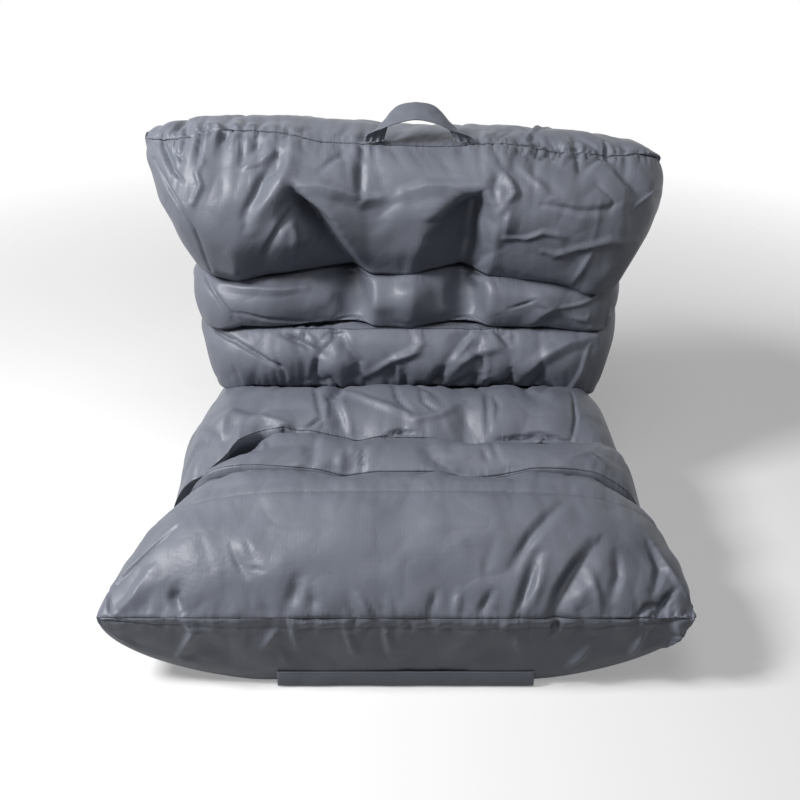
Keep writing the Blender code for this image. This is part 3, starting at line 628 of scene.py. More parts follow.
# %% Folds
FOLD_GAIN = 1.6
PHOTO_SIDE = 800
EYE, AXES = np.array(camera.location), np.array(camera.rotation_euler.to_matrix())
FOCUS = camera_data.lens / camera_data.sensor_width * PHOTO_SIDE


def in_photo(points):
    """Where points fall in the photograph's frame, in its pixels."""
    viewed = (points - EYE) @ AXES
    return PHOTO_SIDE / 2 + FOCUS * np.stack([viewed[..., 0], -viewed[..., 1]], -1) / -viewed[..., 2:]


def traced(fine, panel, pixels):
    """Turns pixel places on one panel into (x, distance round from row 0), from the nearest grid points."""
    first, last = fine.spans[panel]
    shown = in_photo(fine.grid[first:last]).reshape(-1, 2)
    across = fine.across[first:last].reshape(-1)
    along = np.repeat(fine.along[first:last], fine.across.shape[1])
    found = []
    for pixel in pixels:
        off = np.linalg.norm(shown - pixel, axis=1)
        near = np.argpartition(off, 4)[:4]
        share = 1 / (off[near] + 0.3)
        found.append((across[near] @ share / share.sum(), along[near] @ share / share.sum()))
    return np.array(found)


def fold(fine, panel, depth, left, right, *pixels):
    """One fold along a line: a sharp bottom, or a crest when depth is negative, with one slope on each side.

    The line is given by where it shows in the photograph. Depth and the widths of both slopes are in
    millimetres, and left is on the left hand when going from the first point to the last.
    """
    points = traced(fine, panel, pixels)
    place = np.stack([fine.across, np.broadcast_to(fine.along[:, None], fine.across.shape)], 2)
    nearest = np.full(fine.across.shape, 9.0)
    share_at, on_left = np.zeros(fine.across.shape), np.zeros(fine.across.shape, bool)
    count = len(points) - 1
    for number, (a, b) in enumerate(zip(points, points[1:])):
        way = b - a
        share = np.clip(((place - a) @ way) / max(way @ way, 1e-9), 0, 1)
        off = place - (a + share[:, :, None] * way)
        distance = np.linalg.norm(off, axis=2)
        closer = distance < nearest
        nearest = np.where(closer, distance, nearest)
        share_at = np.where(closer, (number + share) / count, share_at)
        on_left = np.where(closer, way[0] * off[:, :, 1] - way[1] * off[:, :, 0] > 0, on_left)
    taper = np.sin(np.pi * np.clip(share_at, 0.08, 0.92)) ** 0.6
    near = np.clip(1 - nearest / (np.where(on_left, left, right) / 1000), 0, 1)
    fine.push(-FOLD_GAIN * depth / 1000 * near ** 1.6 * (1.6 - 0.6 * near) * taper * side_fade(fine)[None, :])


def folds(fine, table):
    """table has a list for each panel, and a fold there is depth, left, right and the points of its line."""
    for panel, rows in table.items():
        for row in rows:
            fold(fine, panel, *row)
        print(len(rows), "folds in the", panel)


def write_map(made, name, pair):
    """A map with two numbers for each point of the grid."""
    layer = made.data.uv_layers.new(name=name)
    corners = np.empty(len(made.data.loops), int)
    made.data.loops.foreach_get("vertex_index", corners)
    layer.data.foreach_set("uv", np.stack([part.reshape(-1)[corners] for part in pair], 1).reshape(-1))


def cover_object(name, fine, body, hides, seams):
    """Makes the cover and says what it is. seams lists (row, offset, strength) of each line of stitching, and
    strength sets how dark its painted shade is and how deep its groove and gathers are.
    """
    made = closed_mesh(name, fine.grid)
    made.data.materials.append(sewn_nylon)
    away, strength = np.full(len(fine.grid), 1.0), np.zeros(len(fine.grid))
    for row, offset, weight in seams:
        off = np.abs(fine.along - (fine.along[row] + offset) % fine.round)
        off = np.minimum(off, fine.round - off)
        strength = np.where(off < away, weight, strength)
        away = np.minimum(away, off)
    shape = fine.across.shape
    write_map(made, "seam", (np.broadcast_to(away[:, None], shape), fine.across))
    write_map(made, "weight", (np.broadcast_to(strength[:, None], shape), np.zeros(shape)))
    made.data.shade_smooth()
    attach(made, body)
    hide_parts(*hides)
    print(name, len(made.data.polygons), "faces")
    return made


print("fold tools ready")

# %% [markdown]
# ## How the cross seams wave
# The beads push a seam up in some places and let it sag in others. Each table gives points along a seam, as
# its place from left to right and how far it rises there. Two neighbouring cells share the seam between them.

# %% Waves of the seams
KNEE_RISE = [(-0.44, 0.0), (-0.36, 0.028), (-0.26, 0.018), (-0.15, 0.003), (-0.11, -0.010), (-0.05, 0.0),
             (0.06, 0.0), (0.11, -0.016), (0.17, -0.008), (0.23, 0.008), (0.34, 0.010), (0.40, 0.0)]
SEAT_RISE = [(-0.41, -0.028), (-0.37, -0.034), (-0.33, -0.008), (-0.31, 0.015), (-0.24, 0.026),
             (-0.17, 0.017), (-0.09, -0.006), (-0.05, 0.004), (0.05, 0.0), (0.12, -0.017), (0.17, -0.009),
             (0.27, -0.009), (0.33, 0.0), (0.40, 0.030)]
# the left end of the seat seam hangs lower on the roll's side of it
ROLL_RISE = [(-0.41, -0.070), (-0.36, -0.056), (-0.31, -0.009), (-0.27, 0.018)] + SEAT_RISE[4:]
TOP_RISE = [(-0.44, 0.0), (-0.36, 0.022), (-0.22, 0.013), (-0.16, 0.0), (0.08, 0.0), (0.16, 0.011),
            (0.22, 0.011), (0.30, 0.0)]
print("seam tables of", [len(table) for table in (KNEE_RISE, SEAT_RISE, ROLL_RISE, TOP_RISE)], "points")

# %% [markdown]
# ## Front cushion
# The lowest and widest cell carries the legs. Its top panel rises from the front seam to a flat stitched
# line, and a strip behind that line runs on to the first cross seam. Below the front seam a boxing strip
# turns in under the bulge to meet the base. One swollen box would be quicker, but panels of their own keep
# each seam where it is sewn.

# %% Front cushion
WALL_FALL, BACK_FALL = (0.2, 3.0), (0, 3.4)  # the hidden walls between cells, and the backs
FRONT_BASE_FALL, BASE_FALL = (0.45, 1.5), (0.6, 2.0)
TOP_ROWS, STRIP_ROWS, WALL_ROWS, BOXING_ROWS = 28, 10, 8, 18
SEAM_HALF = 0.002  # half the gap that a cross seam leaves between two covers
STITCH_SHARE = 0.714  # how far along the side seam the stitched line ends
LOWER_STITCH = -0.022  # a second line of stitching runs this far below the front seam
FLAP_TOP = 0.040  # below this height the cloth is held, because the zip and its flap lie there
TOP_CROWN, STRIP_CROWN = 0.032, 0.011  # how far a line between two seams stands out in its middle
front = Cover(((0.515, 0.000, 0.150), (0.494, 0.125, 0.144), (0.418, 0.231, 0.136)),
              ((0.480, 0.000, 0.150), (0.480, 0.125, 0.144), (0.440, 0.231, 0.136)), columns=121)
rear = KNEE + np.array([-SEAM_HALF, 0.0])
front.panel("top", bulge(FRONT, STITCH, TOP_CROWN, TOP_ROWS), 0.0, STITCH_SHARE, (0, 3.0), (0, 4.6))
front.panel("strip", bulge(STITCH, rear, STRIP_CROWN, STRIP_ROWS), STITCH_SHARE, 1.0, (0, 4.6))
front.panel("wall", bulge(rear, (rear[0], FLOOR), 0, WALL_ROWS), 1.0, 1.0, WALL_FALL)
front.panel("base", bulge((rear[0], FLOOR), (0.012, FLOOR), 0, 14), 1.0, 0.0, FRONT_BASE_FALL)
height = FLOOR + (FRONT[1] - FLOOR) * np.linspace(0, 1, BOXING_ROWS + 1)[:-1]
BOXING_HEIGHTS = (FLOOR, 0.008, 0.022, 0.036, FRONT[1])
BOXING_DEPTHS = (0.0090, 0.0055, -0.0015, -0.0058, FRONT[0])
boxing = np.stack([np.interp(height, BOXING_HEIGHTS, BOXING_DEPTHS), height], 1)
front.panel("boxing", boxing, 0.0, 0.0, FRONT_BASE_FALL)
grid = front.points()
lift(grid, front, front.spans["wall"][0], KNEE_RISE)
ease = np.full(len(grid), 0.02)
ease[slice(*front.spans["top"])] = 0.03 + 0.04 * np.exp(-np.arange(TOP_ROWS) / TOP_ROWS / 0.2)
ease[slice(*front.spans["boxing"])] = 0.03
pinned = pins_for(front, grid, "wall", "base", rows=(0, front.spans["strip"][0]))
pinned[grid[:, grid.shape[1] // 2, 2] < FLAP_TOP] = True
grid = filled("front", grid, pinned, ease)
front_fine = Fine(front, grid, [0])
FRONT_NODES = ("front_top_panel", "front_rear_strip", "front_boxing", "front_base_panel", "knee_partition",
               "front_gusset_left", "front_gusset_right", "front_filling")
lumps(front_fine, 0.010, 0.16, 81, "top")
puckers(front_fine, 0, 0.0045, 0.014, 0.014, 11, [(0.44, 0.08, 0.9), (-0.10, 0.25, 0.3)], 0.4)
puckers(front_fine, front_fine.start_of("strip"), 0.0016, 0.012, 0.014, 17)
puckers(front_fine, front_fine.start_of("wall"), 0.0050, 0.014, 0.020, 19, even=0.5)
creases(front_fine, 26, 101, 0.0035, ("top",))
creases(front_fine, 14, 102, 0.0030, ("boxing",), 0.3)
topstitch(front_fine, front_fine.start_of("strip"), 0.0, 0.0016, 0.0035)
topstitch(front_fine, 0, 0.0, 0.0045, 0.0040)
topstitch(front_fine, 0, LOWER_STITCH, 0.0022, 0.0035)
FRONT_FOLDS = {
    "top": [
        (6, 6, 9, (116, 585), (139, 559), (177, 526)),
        (6, 5, 5, (110, 614), (110, 591)),
        (-7, 18, 26, (116, 614), (135, 597), (149, 572)),
        (9, 17, 11, (182, 612), (175, 597), (179, 588)),
        (4, 5, 12, (244, 577), (236, 562), (230, 545)),
        (3, 4, 5, (258, 562), (250, 553), (246, 541)),
        (3, 4, 4, (262, 571), (250, 567)),
        (-4, 11, 9, (371, 615), (359, 595)),
        (-4, 9, 9, (393, 614), (387, 599)),
        (6, 16, 16, (290, 611), (298, 579)),
        (5, 12, 14, (317, 610), (311, 593)),
        (9, 16, 20, (519, 615), (526, 591), (537, 556)),
        (-5, 10, 16, (520, 615), (536, 587), (542, 559)),
        (13, 18, 34, (554, 615), (562, 591), (576, 569), (594, 545)),
        (6, 14, 14, (513, 567), (528, 539), (564, 502)),
        (6, 16, 12, (613, 597), (619, 575), (617, 555)),
        (-6, 7, 7, (692, 607), (675, 581), (652, 543)),
        (7, 16, 8, (655, 591), (663, 567), (653, 545)),
        (8, 10, 10, (641, 614), (647, 607), (657, 605)),
        (10, 12, 8, (659, 615), (667, 599), (675, 591)),
        (-5, 12, 12, (600, 610), (596, 591), (588, 569)),
        (5, 10, 10, (479, 614), (493, 591)),
        (4, 10, 10, (430, 614), (437, 591)),
        (-4, 10, 10, (455, 614), (459, 591)),
    ],
    "boxing": [
        (-7, 10, 12, (667, 648), (681, 632), (673, 618)),
        (-6, 12, 12, (631, 654), (643, 632)),
        (-5, 12, 12, (568, 666), (588, 648)),
        (9, 10, 10, (554, 632), (558, 618)),
        (-6, 10, 16, (179, 656), (193, 632), (185, 618)),
        (-4, 9, 9, (298, 648), (292, 618)),
        (-4, 9, 9, (355, 654), (343, 618)),
        (-4, 9, 9, (391, 650), (383, 618)),
        (-4, 9, 9, (264, 648), (275, 631)),
        (-3, 8, 8, (288, 664), (280, 648)),
        (-3, 8, 8, (519, 650), (517, 636)),
        (-4, 10, 10, (501, 630), (507, 618)),
        (-4, 10, 10, (439, 630), (437, 618)),
        (4, 9, 9, (410, 632), (408, 618)),
    ],
}
folds(front_fine, FRONT_FOLDS)
front_cover = cover_object("front_cushion_cover", front_fine, "front_cushion", FRONT_NODES,
                           [(0, 0.0, 1.0), (0, LOWER_STITCH, 0.35), (front_fine.start_of("strip"), 0.0, 0.3)])

# %% [markdown]
# ## Seat roll
# A narrow roll between two cross seams lifts the knees. Its fabric is pulled tight along the seams and slack
# between them. A bent cylinder would do from afar, but it couldn't follow how the two seams wave.

# %% Seat roll
EASE = 0.05  # how much wider than its seams the cloth of the other cells is cut
ROLL_CROWN = 0.022
roll = Cover(((0.420, 0.239, 0.120), (0.388, 0.290, 0.106), (0.350, 0.341, 0.098)),
             ((0.442, 0.239, 0.130), (0.442, 0.290, 0.130), (0.432, 0.341, 0.130)), columns=101)
front_top, rear_top = KNEE + np.array([SEAM_HALF, 0.0]), SEAT + np.array([-SEAM_HALF, 0.0])
roll.panel("seat", bulge(front_top, rear_top, ROLL_CROWN, 14), 0.0, 1.0, (0, 7.0))
roll.panel("wall", bulge(rear_top, (rear_top[0], FLOOR), 0, WALL_ROWS), 1.0, 1.0, WALL_FALL)
roll.panel("base", bulge((rear_top[0], FLOOR), (front_top[0], FLOOR), 0, 6), 1.0, 0.0, BASE_FALL)
roll.panel("front_wall", bulge((front_top[0], FLOOR), front_top, 0, WALL_ROWS), 0.0, 0.0, WALL_FALL)
grid = roll.points()
lift(grid, roll, 0, KNEE_RISE)
lift(grid, roll, roll.spans["wall"][0], ROLL_RISE)
pinned = pins_for(roll, grid, "wall", "base", "front_wall", rows=(0,))
grid = filled("roll", grid, pinned, np.full(len(grid), EASE), seed=2)
roll_fine = Fine(roll, grid, [0])
puckers(roll_fine, 0, 0.0045, 0.014, 0.018, 23, even=0.5)
puckers(roll_fine, roll_fine.start_of("wall"), 0.0045, 0.014, 0.018, 29, even=0.5)
ROLL_NODES = ("seat_roll_panel", "seat_partition", "seat_roll_base", "seat_roll_side_left",
              "seat_roll_side_right", "seat_roll_filling")
creases(roll_fine, 14, 103, 0.0035, ("seat",), 0.5)
ROLL_FOLDS = {
    "seat": [
        (8, 5, 6, (362, 471), (364, 447)),
        (-4, 6, 6, (351, 455), (354, 445)),
        (6, 28, 9, (313, 464), (315, 449), (317, 436)),
        (-6, 16, 22, (339, 473), (342, 452)),
        (12, 6, 6, (219, 462), (232, 450), (244, 440)),
        (7, 28, 24, (458, 477), (431, 455), (428, 442)),
        (4, 6, 6, (488, 462), (483, 449)),
        (4, 6, 6, (498, 458), (491, 444)),
        (-5, 6, 7, (571, 456), (590, 454), (606, 466)),
        (-4, 8, 8, (263, 442), (264, 450)),
    ],
}
folds(roll_fine, ROLL_FOLDS)
roll_cover = cover_object("seat_roll_cover", roll_fine, "seat_roll", ROLL_NODES,
                          [(0, 0.0, 0.6), (roll_fine.start_of("wall"), 0.0, 0.8)])

# %% [markdown]
# ## Rear seat
# The hips rest here, and the cell runs back under the whole backrest. Its top panel is gathered into the
# waist seam, and its front left corner bulges forward over the roll. That corner could be a fold of its own,
# but it moves as part of the grid, so the cloth over it stays one piece.

# %% Rear seat
NOTCH_DEPTH, NOTCH_SLOPE = 0.795, 9.5  # the waist gap runs this far back, and falls at this angle
CORNER_FORWARD, CORNER_UP = 0.058, 0.022
SEAT_CROWN, REAR_CROWN = 0.040, 0.018
seat = Cover(((0.442, 0.280, 0.122), (0.424, 0.500, 0.138), (0.374, 0.684, 0.235)),
             ((0.432, 0.349, 0.130), (0.420, 0.530, 0.138), (0.374, 0.684, 0.235)), columns=111)
front_top, waist = SEAT + np.array([SEAM_HALF, 0.0]), WAIST + np.array([-SEAM_HALF, -0.003])
notch = np.array([NOTCH_DEPTH, waist[1] - (NOTCH_DEPTH - waist[0]) * math.tan(math.radians(NOTCH_SLOPE))])
swell, rear_foot = np.array([0.880, 0.110]), np.array([0.835, FLOOR])
seat.panel("seat", bulge(front_top, waist, SEAT_CROWN, 26), 0.0, 1.0, (0, 6.0), (0, 12.0))
seat.panel("wall", bulge(waist, notch, 0, 18), 1.0, 1.0, WALL_FALL)
rear_line = np.vstack([bulge(notch, swell, REAR_CROWN, 10), bulge(swell, rear_foot, REAR_CROWN, 10)])
seat.panel("rear", rear_line, 1.0, 1.0, BACK_FALL)
seat.panel("base", bulge(rear_foot, (front_top[0], FLOOR), 0, 16), 1.0, 0.0, BASE_FALL)
seat.panel("front_wall", bulge((front_top[0], FLOOR), front_top, 0, WALL_ROWS), 0.0, 0.0, WALL_FALL)
grid = seat.points()
lift(grid, seat, 0, SEAT_RISE)
first, last = seat.spans["seat"]
share = (np.arange(first, last) - first)[:, None] / (last - first)
corner = np.interp(-grid[first:last, :, 0], (0.27, 0.34, 0.40, 0.44), (0.0, 1.0, 0.8, 0.6))
corner *= np.clip(1 - share / 0.5, 0, 1) * seat.inside
grid[first:last, :, 1] -= CORNER_FORWARD * corner
grid[first:last, :, 2] += CORNER_UP * corner
pinned = pins_for(seat, grid, "wall", "base", "front_wall", rows=(0,))
grid = filled("rear_seat", grid, pinned, np.full(len(grid), EASE), seed=3)
seat_fine = Fine(seat, grid, [0])
WAIST_GATHERS = [(-0.14, 0.05, 1.4), (0.06, 0.08, 1.0), (0.20, 0.08, 1.2)]
puckers(seat_fine, 0, 0.0045, 0.014, 0.018, 31, even=0.5)
puckers(seat_fine, seat_fine.start_of("wall"), 0.0050, 0.016, 0.014, 37, WAIST_GATHERS, 0.4)
SEAT_NODES = ("rear_seat_panel", "waist_partition", "rear_seat_back", "rear_seat_base", "rear_seat_side_left",
              "rear_seat_side_right", "rear_seat_filling")
creases(seat_fine, 20, 104, 0.0040, ("seat",))
creases(seat_fine, 30, 105, 0.0040, ("rear",))
SEAT_FOLDS = {
    "seat": [
        (5, 8, 8, (321, 419), (318, 401), (315, 386)),
        (-4, 7, 7, (326, 414), (327, 398)),
        (7, 6, 8, (307, 427), (321, 419)),
        (8, 30, 12, (347, 440), (342, 419), (336, 401), (341, 390)),
        (-5, 16, 14, (341, 395), (370, 401), (398, 411), (419, 418)),
        (12, 5, 5, (282, 429), (295, 428), (308, 431)),
        (12, 4, 5, (385, 436), (401, 431), (419, 434)),
        (5, 6, 7, (203, 441), (217, 440), (229, 440)),
        (5, 6, 12, (184, 480), (198, 460), (216, 444)),
        (-5, 14, 8, (181, 470), (194, 450), (200, 432)),
        (-6, 16, 18, (216, 424), (232, 414), (261, 418), (284, 424)),
        (8, 34, 34, (467, 442), (464, 405)),
        (5, 9, 9, (488, 431), (487, 393)),
        (-5, 12, 14, (416, 419), (442, 413), (463, 404)),
        (12, 5, 6, (499, 441), (519, 438), (541, 435), (571, 443)),
        (-5, 4, 4, (537, 442), (542, 436)),
        (6, 5, 6, (572, 439), (576, 418), (572, 393)),
        (4, 7, 7, (496, 418), (499, 406), (493, 395)),
        (5, 7, 7, (437, 411), (423, 401), (421, 390)),
        (5, 7, 7, (414, 414), (398, 398), (393, 388)),
    ],
}
folds(seat_fine, SEAT_FOLDS)
seat_cover = cover_object("rear_seat_cover", seat_fine, "rear_seat", SEAT_NODES,
                          [(0, 0.0, 0.8), (seat_fine.start_of("wall"), 0.0, 1.3)])

# %% [markdown]
# ## Tucks
# Two long tucks are sewn into the headrest and run down over the neck seam into the first band. They draw the
# fabric in by several centimetres, so a tongue stands out between them. Each tuck is a line with a sharp
# bottom and one steep and one wide slope, and its bottom is pinned while the cloth swells.

# %% Tucks
# where each tuck starts and ends, how wide its slopes are, and how much wider the left one is low down
LEFT_TUCK = {"foot": -0.102, "top": -0.208, "left": 0.078, "right": 0.036, "low": 2.2}
RIGHT_TUCK = {"foot": 0.117, "top": 0.138, "left": 0.096, "right": 0.044, "low": 1.2}
TUCK_DEPTH, TUCK_TOP = 0.076, 0.64  # the second is the share of the panel's height where the tucks end


def tuck_line(tuck, share):
    """Where a tuck runs from left to right, at a share of the panel's height."""
    return tuck["foot"] + (tuck["top"] - tuck["foot"]) * np.clip(share / TUCK_TOP, 0, 1)


def groove(across, line, tuck, widening):
    """A valley with a sharp bottom and two nearly straight slopes."""
    off = across - line
    low = 1 + (tuck["low"] - 1) * np.clip(widening - 1, 0, 1)
    width = np.where(off < 0, tuck["left"] * low, tuck["right"]) * min(widening, 1.0)
    near = np.clip(1 - np.abs(off) / width, 0, 1)
    return near ** 1.5 * (1.5 - 0.5 * near)


def draw_in(grid, cover, panel, share_of, strength_of, pinned=None):
    """Draws the tucks into one panel: share_of and strength_of turn a row's share into place and depth."""
    first, last = cover.spans[panel]
    for row in range(first, last):
        share = (row - first) / (last - first)
        strength = strength_of(share)
        move = np.zeros(grid.shape[1])
        place = share_of(share)
        widening = np.interp(place, (0.0, 0.25, TUCK_TOP - 0.22, TUCK_TOP), (2.0, 1.0, 1.0, 0.45))
        for tuck in (LEFT_TUCK, RIGHT_TUCK):
            line = tuck_line(tuck, place)
            move = np.maximum(move, groove(grid[row, :, 0], line, tuck, widening))
            if pinned is not None and strength > 0.35:
                pinned[row, np.argsort(np.abs(grid[row, :, 0] - line))[:2]] = True
        grid[row, :, 1] += TUCK_DEPTH * strength * move


def up_headrest(share):
    """How deep the tucks are up the headrest."""
    return (0.80 + 0.25 * math.sin(math.pi * min(share / TUCK_TOP, 1.0))) * min(
        1.0, max(0.0, (TUCK_TOP + 0.04 - share) / 0.16)) ** 0.7


def droop(grid, cover, panel, table, forward, reach=0.55):
    """Lets the lower corners hang: table holds (x, drop), and forward brings them over the seam."""
    places, drops = np.array(table).T
    first, last = cover.spans[panel]
    share = (np.arange(first, last) - first)[:, None] / (last - first)
    weight = np.clip(1 - np.clip(share - 0.10, 0, 1) / (reach - 0.10), 0, 1) ** 1.3
    drop = np.interp(grid[first:last, :, 0], places, drops) * cover.inside
    grid[first:last, :, 2] -= drop * weight * (0.7 + 0.3 * np.clip(share / 0.10, 0, 1))
    grid[first:last, :, 1] -= forward * drop / drops.max() * weight * np.clip(share / 0.08, 0, 1)


def into_gap(share):
    """On the hidden walls the tucks die out behind the seam."""
    return 0.80 * math.exp(-((share / 0.35) ** 2))


print("tucks ready")

# %% [markdown]
# ## Lumbar bands
# Two rolls across the small of the back, with a gathered seam below and smoother ones between. Both are the
# same shape with other sizes, so one helper makes them.


# %% Lumbar bands
BAND_WALL_ROWS = 12
BACK_CROWN = 0.020


def back_point(seam, depth, degrees):
    """Where the gap behind a cross seam opens at the back: its depth, and the angle it climbs at."""
    return np.array([depth, seam[1] + (depth - seam[0]) * math.tan(math.radians(degrees))])


def lumbar(name, left, right, low, high, low_slope, high_slope, crown, seed, corners, tucked=False):
    """One band between two seams. A slope is the depth and the angle of the gap behind a seam."""
    low, high = low + np.array([0.0, SEAM_HALF]), high + np.array([0.0, -SEAM_HALF])
    low_back, high_back = back_point(low, *low_slope), back_point(high, *high_slope)
    cover = Cover(left, right, columns=101)
    cover.panel("seat", bulge(low, high, crown, 18), 0.0, 1.0, (0, 12.0), (0, 6.0))
    cover.panel("wall", bulge(high, high_back, 0, BAND_WALL_ROWS), 1.0, 1.0, WALL_FALL)
    cover.panel("back", bulge(high_back, low_back, BACK_CROWN, 18), 1.0, 0.0, BACK_FALL)
    cover.panel("low_wall", bulge(low_back, low, 0, BAND_WALL_ROWS), 0.0, 0.0, WALL_FALL)
    grid = cover.points()
    droop(grid, cover, "seat", corners, 0.012)
    pinned = pins_for(cover, grid, "wall", "low_wall", rows=(0, cover.spans["back"][0]))
    if tucked:
        draw_in(grid, cover, "seat", lambda share: 0.0, lambda share: 0.42 + 0.38 * share, pinned)
        draw_in(grid, cover, "wall", lambda share: 0.0, into_gap)
    grid = filled(name, grid, pinned, np.full(len(grid), EASE), seed=seed)
    return Fine(cover, grid, [0])


lower = lumbar("lower_lumbar", ((0.400, 0.693, 0.322), (0.422, 0.706, 0.367), (0.418, 0.712, 0.399)),
               ((0.412, 0.693, 0.322), (0.442, 0.706, 0.367), (0.440, 0.712, 0.399)),
               WAIST, LUMBAR, (0.862, 11.0), (0.885, -1.0), 0.028, 4,
               [(-0.40, 0.075), (-0.36, 0.038), (-0.31, 0.0), (0.27, 0.0), (0.32, 0.018), (0.37, 0.050),
                (0.41, 0.085)])
puckers(lower, 0, 0.0055, 0.016, 0.014, 41, WAIST_GATHERS, 0.4)
puckers(lower, lower.start_of("wall"), 0.0040, 0.014, 0.016, 43, [(-0.17, 0.06, 1.6), (0.17, 0.08, 1.2)], 0.3)
LOWER_NODES = ("lower_lumbar_panel", "lumbar_partition", "lower_lumbar_back", "lower_lumbar_side_left",
               "lower_lumbar_side_right", "lower_lumbar_filling")
creases(lower, 16, 106, 0.0040, ("seat",), 0.8)
creases(lower, 24, 107, 0.0040, ("back",))
LOWER_FOLDS = {
    "seat": [
        (7, 5, 8, (216, 330), (235, 340), (256, 353), (268, 361), (281, 367)),
        (7, 4, 4, (217, 332), (232, 339)),
        (7, 9, 6, (313, 380), (315, 369), (318, 357)),
        (5, 4, 5, (305, 340), (303, 328)),
        (5, 4, 5, (314, 336), (311, 328)),
        (5, 5, 4, (323, 340), (330, 331)),
        (8, 6, 12, (281, 333), (300, 340), (321, 353)),
        (4, 5, 5, (321, 353), (334, 341), (336, 331)),
        (8, 26, 12, (359, 376), (359, 362), (346, 344), (341, 333)),
        (7, 26, 7, (396, 383), (393, 362)),
        (-5, 12, 12, (365, 375), (393, 360), (419, 353)),
        (-4, 16, 12, (397, 359), (413, 353), (422, 344), (418, 331)),
        (9, 30, 8, (484, 375), (482, 353)),
        (-5, 14, 14, (445, 375), (460, 362), (482, 351), (499, 349)),
        (-4, 10, 10, (446, 374), (449, 364), (465, 346), (476, 333)),
        (6, 8, 6, (509, 346), (501, 336), (496, 327)),
        (-3, 5, 5, (510, 338), (509, 328)),
        (-7, 22, 22, (525, 372), (548, 354), (571, 342), (597, 335)),
        (-4, 6, 9, (566, 390), (582, 369), (589, 346)),
        (5, 7, 7, (286, 379), (282, 369), (278, 361)),
    ],
}
folds(lower, LOWER_FOLDS)
lower_cover = cover_object("lower_lumbar_cover", lower, "lower_lumbar", LOWER_NODES,
                           [(0, 0.0, 1.3), (lower.start_of("wall"), 0.0, 1.0)])

upper = lumbar("upper_lumbar", ((0.422, 0.716, 0.426), (0.440, 0.718, 0.460), (0.418, 0.722, 0.494)),
               ((0.434, 0.716, 0.426), (0.446, 0.718, 0.456), (0.424, 0.722, 0.486)),
               LUMBAR, NECK, (0.885, 6.0), (0.895, 1.0), 0.023, 5,
               [(-0.42, 0.060), (-0.38, 0.030), (-0.32, 0.0), (0.28, 0.0), (0.345, 0.018), (0.40, 0.034)],
               tucked=True)
puckers(upper, 0, 0.0040, 0.012, 0.018, 47, even=0.3)
puckers(upper, upper.start_of("wall"), 0.0050, 0.014, 0.020, 53, even=0.3)
UPPER_NODES = ("upper_lumbar_panel", "neck_partition", "upper_lumbar_back", "upper_lumbar_side_left",
               "upper_lumbar_side_right", "upper_lumbar_filling")
creases(upper, 12, 108, 0.0035, ("seat",), 0.8)
creases(upper, 24, 109, 0.0040, ("back",))
UPPER_FOLDS = {
    "seat": [
        (-5, 10, 14, (219, 283), (248, 289), (284, 290), (305, 287)),
        (6, 6, 6, (242, 325), (230, 314), (217, 297), (207, 278)),
        (3, 5, 6, (233, 312), (261, 318), (284, 320), (313, 322)),
        (16, 56, 40, (358, 323), (357, 300), (358, 270)),
        (-8, 50, 52, (411, 325), (411, 304), (411, 280)),
        (16, 50, 50, (466, 325), (466, 300), (466, 269)),
        (-5, 22, 18, (530, 324), (541, 315), (551, 309), (539, 298)),
        (-3, 5, 6, (551, 310), (579, 304), (590, 300), (606, 283)),
        (-3, 5, 5, (572, 318), (587, 320), (589, 315)),
        (-4, 7, 7, (590, 328), (606, 323), (608, 312)),
        (3, 5, 5, (509, 309), (525, 304), (537, 299)),
    ],
}
folds(upper, UPPER_FOLDS)
upper_cover = cover_object("upper_lumbar_cover", upper, "upper_lumbar", UPPER_NODES,
                           [(0, 0.0, 0.6), (upper.start_of("wall"), 0.0, 0.7)])

# %% [markdown]
# ## Headrest
# The tall top cell widens into two ears. Two tucks sewn into its front panel draw a narrow tongue out of the
# middle, and its upper edge is gathered hard into a short top gusset. The tongue could be a lump laid on top,
# but cloth that is drawn in by pinned tucks folds beside them by itself.

# %% Headrest
HANDLE_DIP = 0.010  # the top gusset sinks in between the feet of the handle
LOBE_SWELL, TONGUE_SWELL = 0.078, 0.056  # how far the front panel stands out at the sides and in the middle
TONGUE_CENTRE, TONGUE_HALF, TONGUE_EDGE = 0.008, 0.150, 0.07
GUSSET_CROWN = 0.022
TOP_SAG = 0.027  # the right half of the headrest is less full, so its upper edge hangs lower
GUSSET_BACK = (0.840, 0.748)  # the seam between the gusset and the back
NECK_GAP = (0.895, 11.0)  # how deep the gap under the headrest runs, and the angle it climbs at
FACE_ROWS, GUSSET_ROWS = 38, 20
head = Cover(((0.426, 0.724, 0.522), (0.486, 0.722, 0.632), (0.510, 0.725, 0.742)),
             ((0.428, 0.720, 0.506), (0.508, 0.722, 0.596), (0.505, 0.725, 0.694)), columns=131,
             left_square=1.8)
low = NECK + np.array([0.0, SEAM_HALF])
low_back = back_point(low, *NECK_GAP)
lobes, tongue = (bulge(low, TOP, swell, FACE_ROWS) for swell in (LOBE_SWELL, TONGUE_SWELL))
head.panel("front", lobes, 0.0, 1.0, (0, 10.0), (0, 3.6))
head.panel("gusset", bulge(TOP, GUSSET_BACK, GUSSET_CROWN, GUSSET_ROWS), 1.0, 1.0, (0, 4.0))
head.panel("back", bulge(GUSSET_BACK, low_back, BACK_CROWN, FACE_ROWS), 1.0, 0.0, BACK_FALL)
head.panel("low_wall", bulge(low_back, low, 0, BAND_WALL_ROWS), 0.0, 0.0, WALL_FALL)
grid = head.points()
pinned = pins_for(head, grid, "low_wall", rows=(0, head.spans["gusset"][0], head.spans["back"][0]))
rising = np.linspace(0, 1, FACE_ROWS) ** 2
high_rows = np.concatenate([rising, np.ones(GUSSET_ROWS), rising[::-1], np.zeros(BAND_WALL_ROWS)])
to_right = np.clip((grid[:, :, 0] + 0.27) / 0.65, 0, 1) * (1 - np.abs(head.columns) ** 6)
grid[:, :, 2] -= TOP_SAG * high_rows[:, None] * to_right
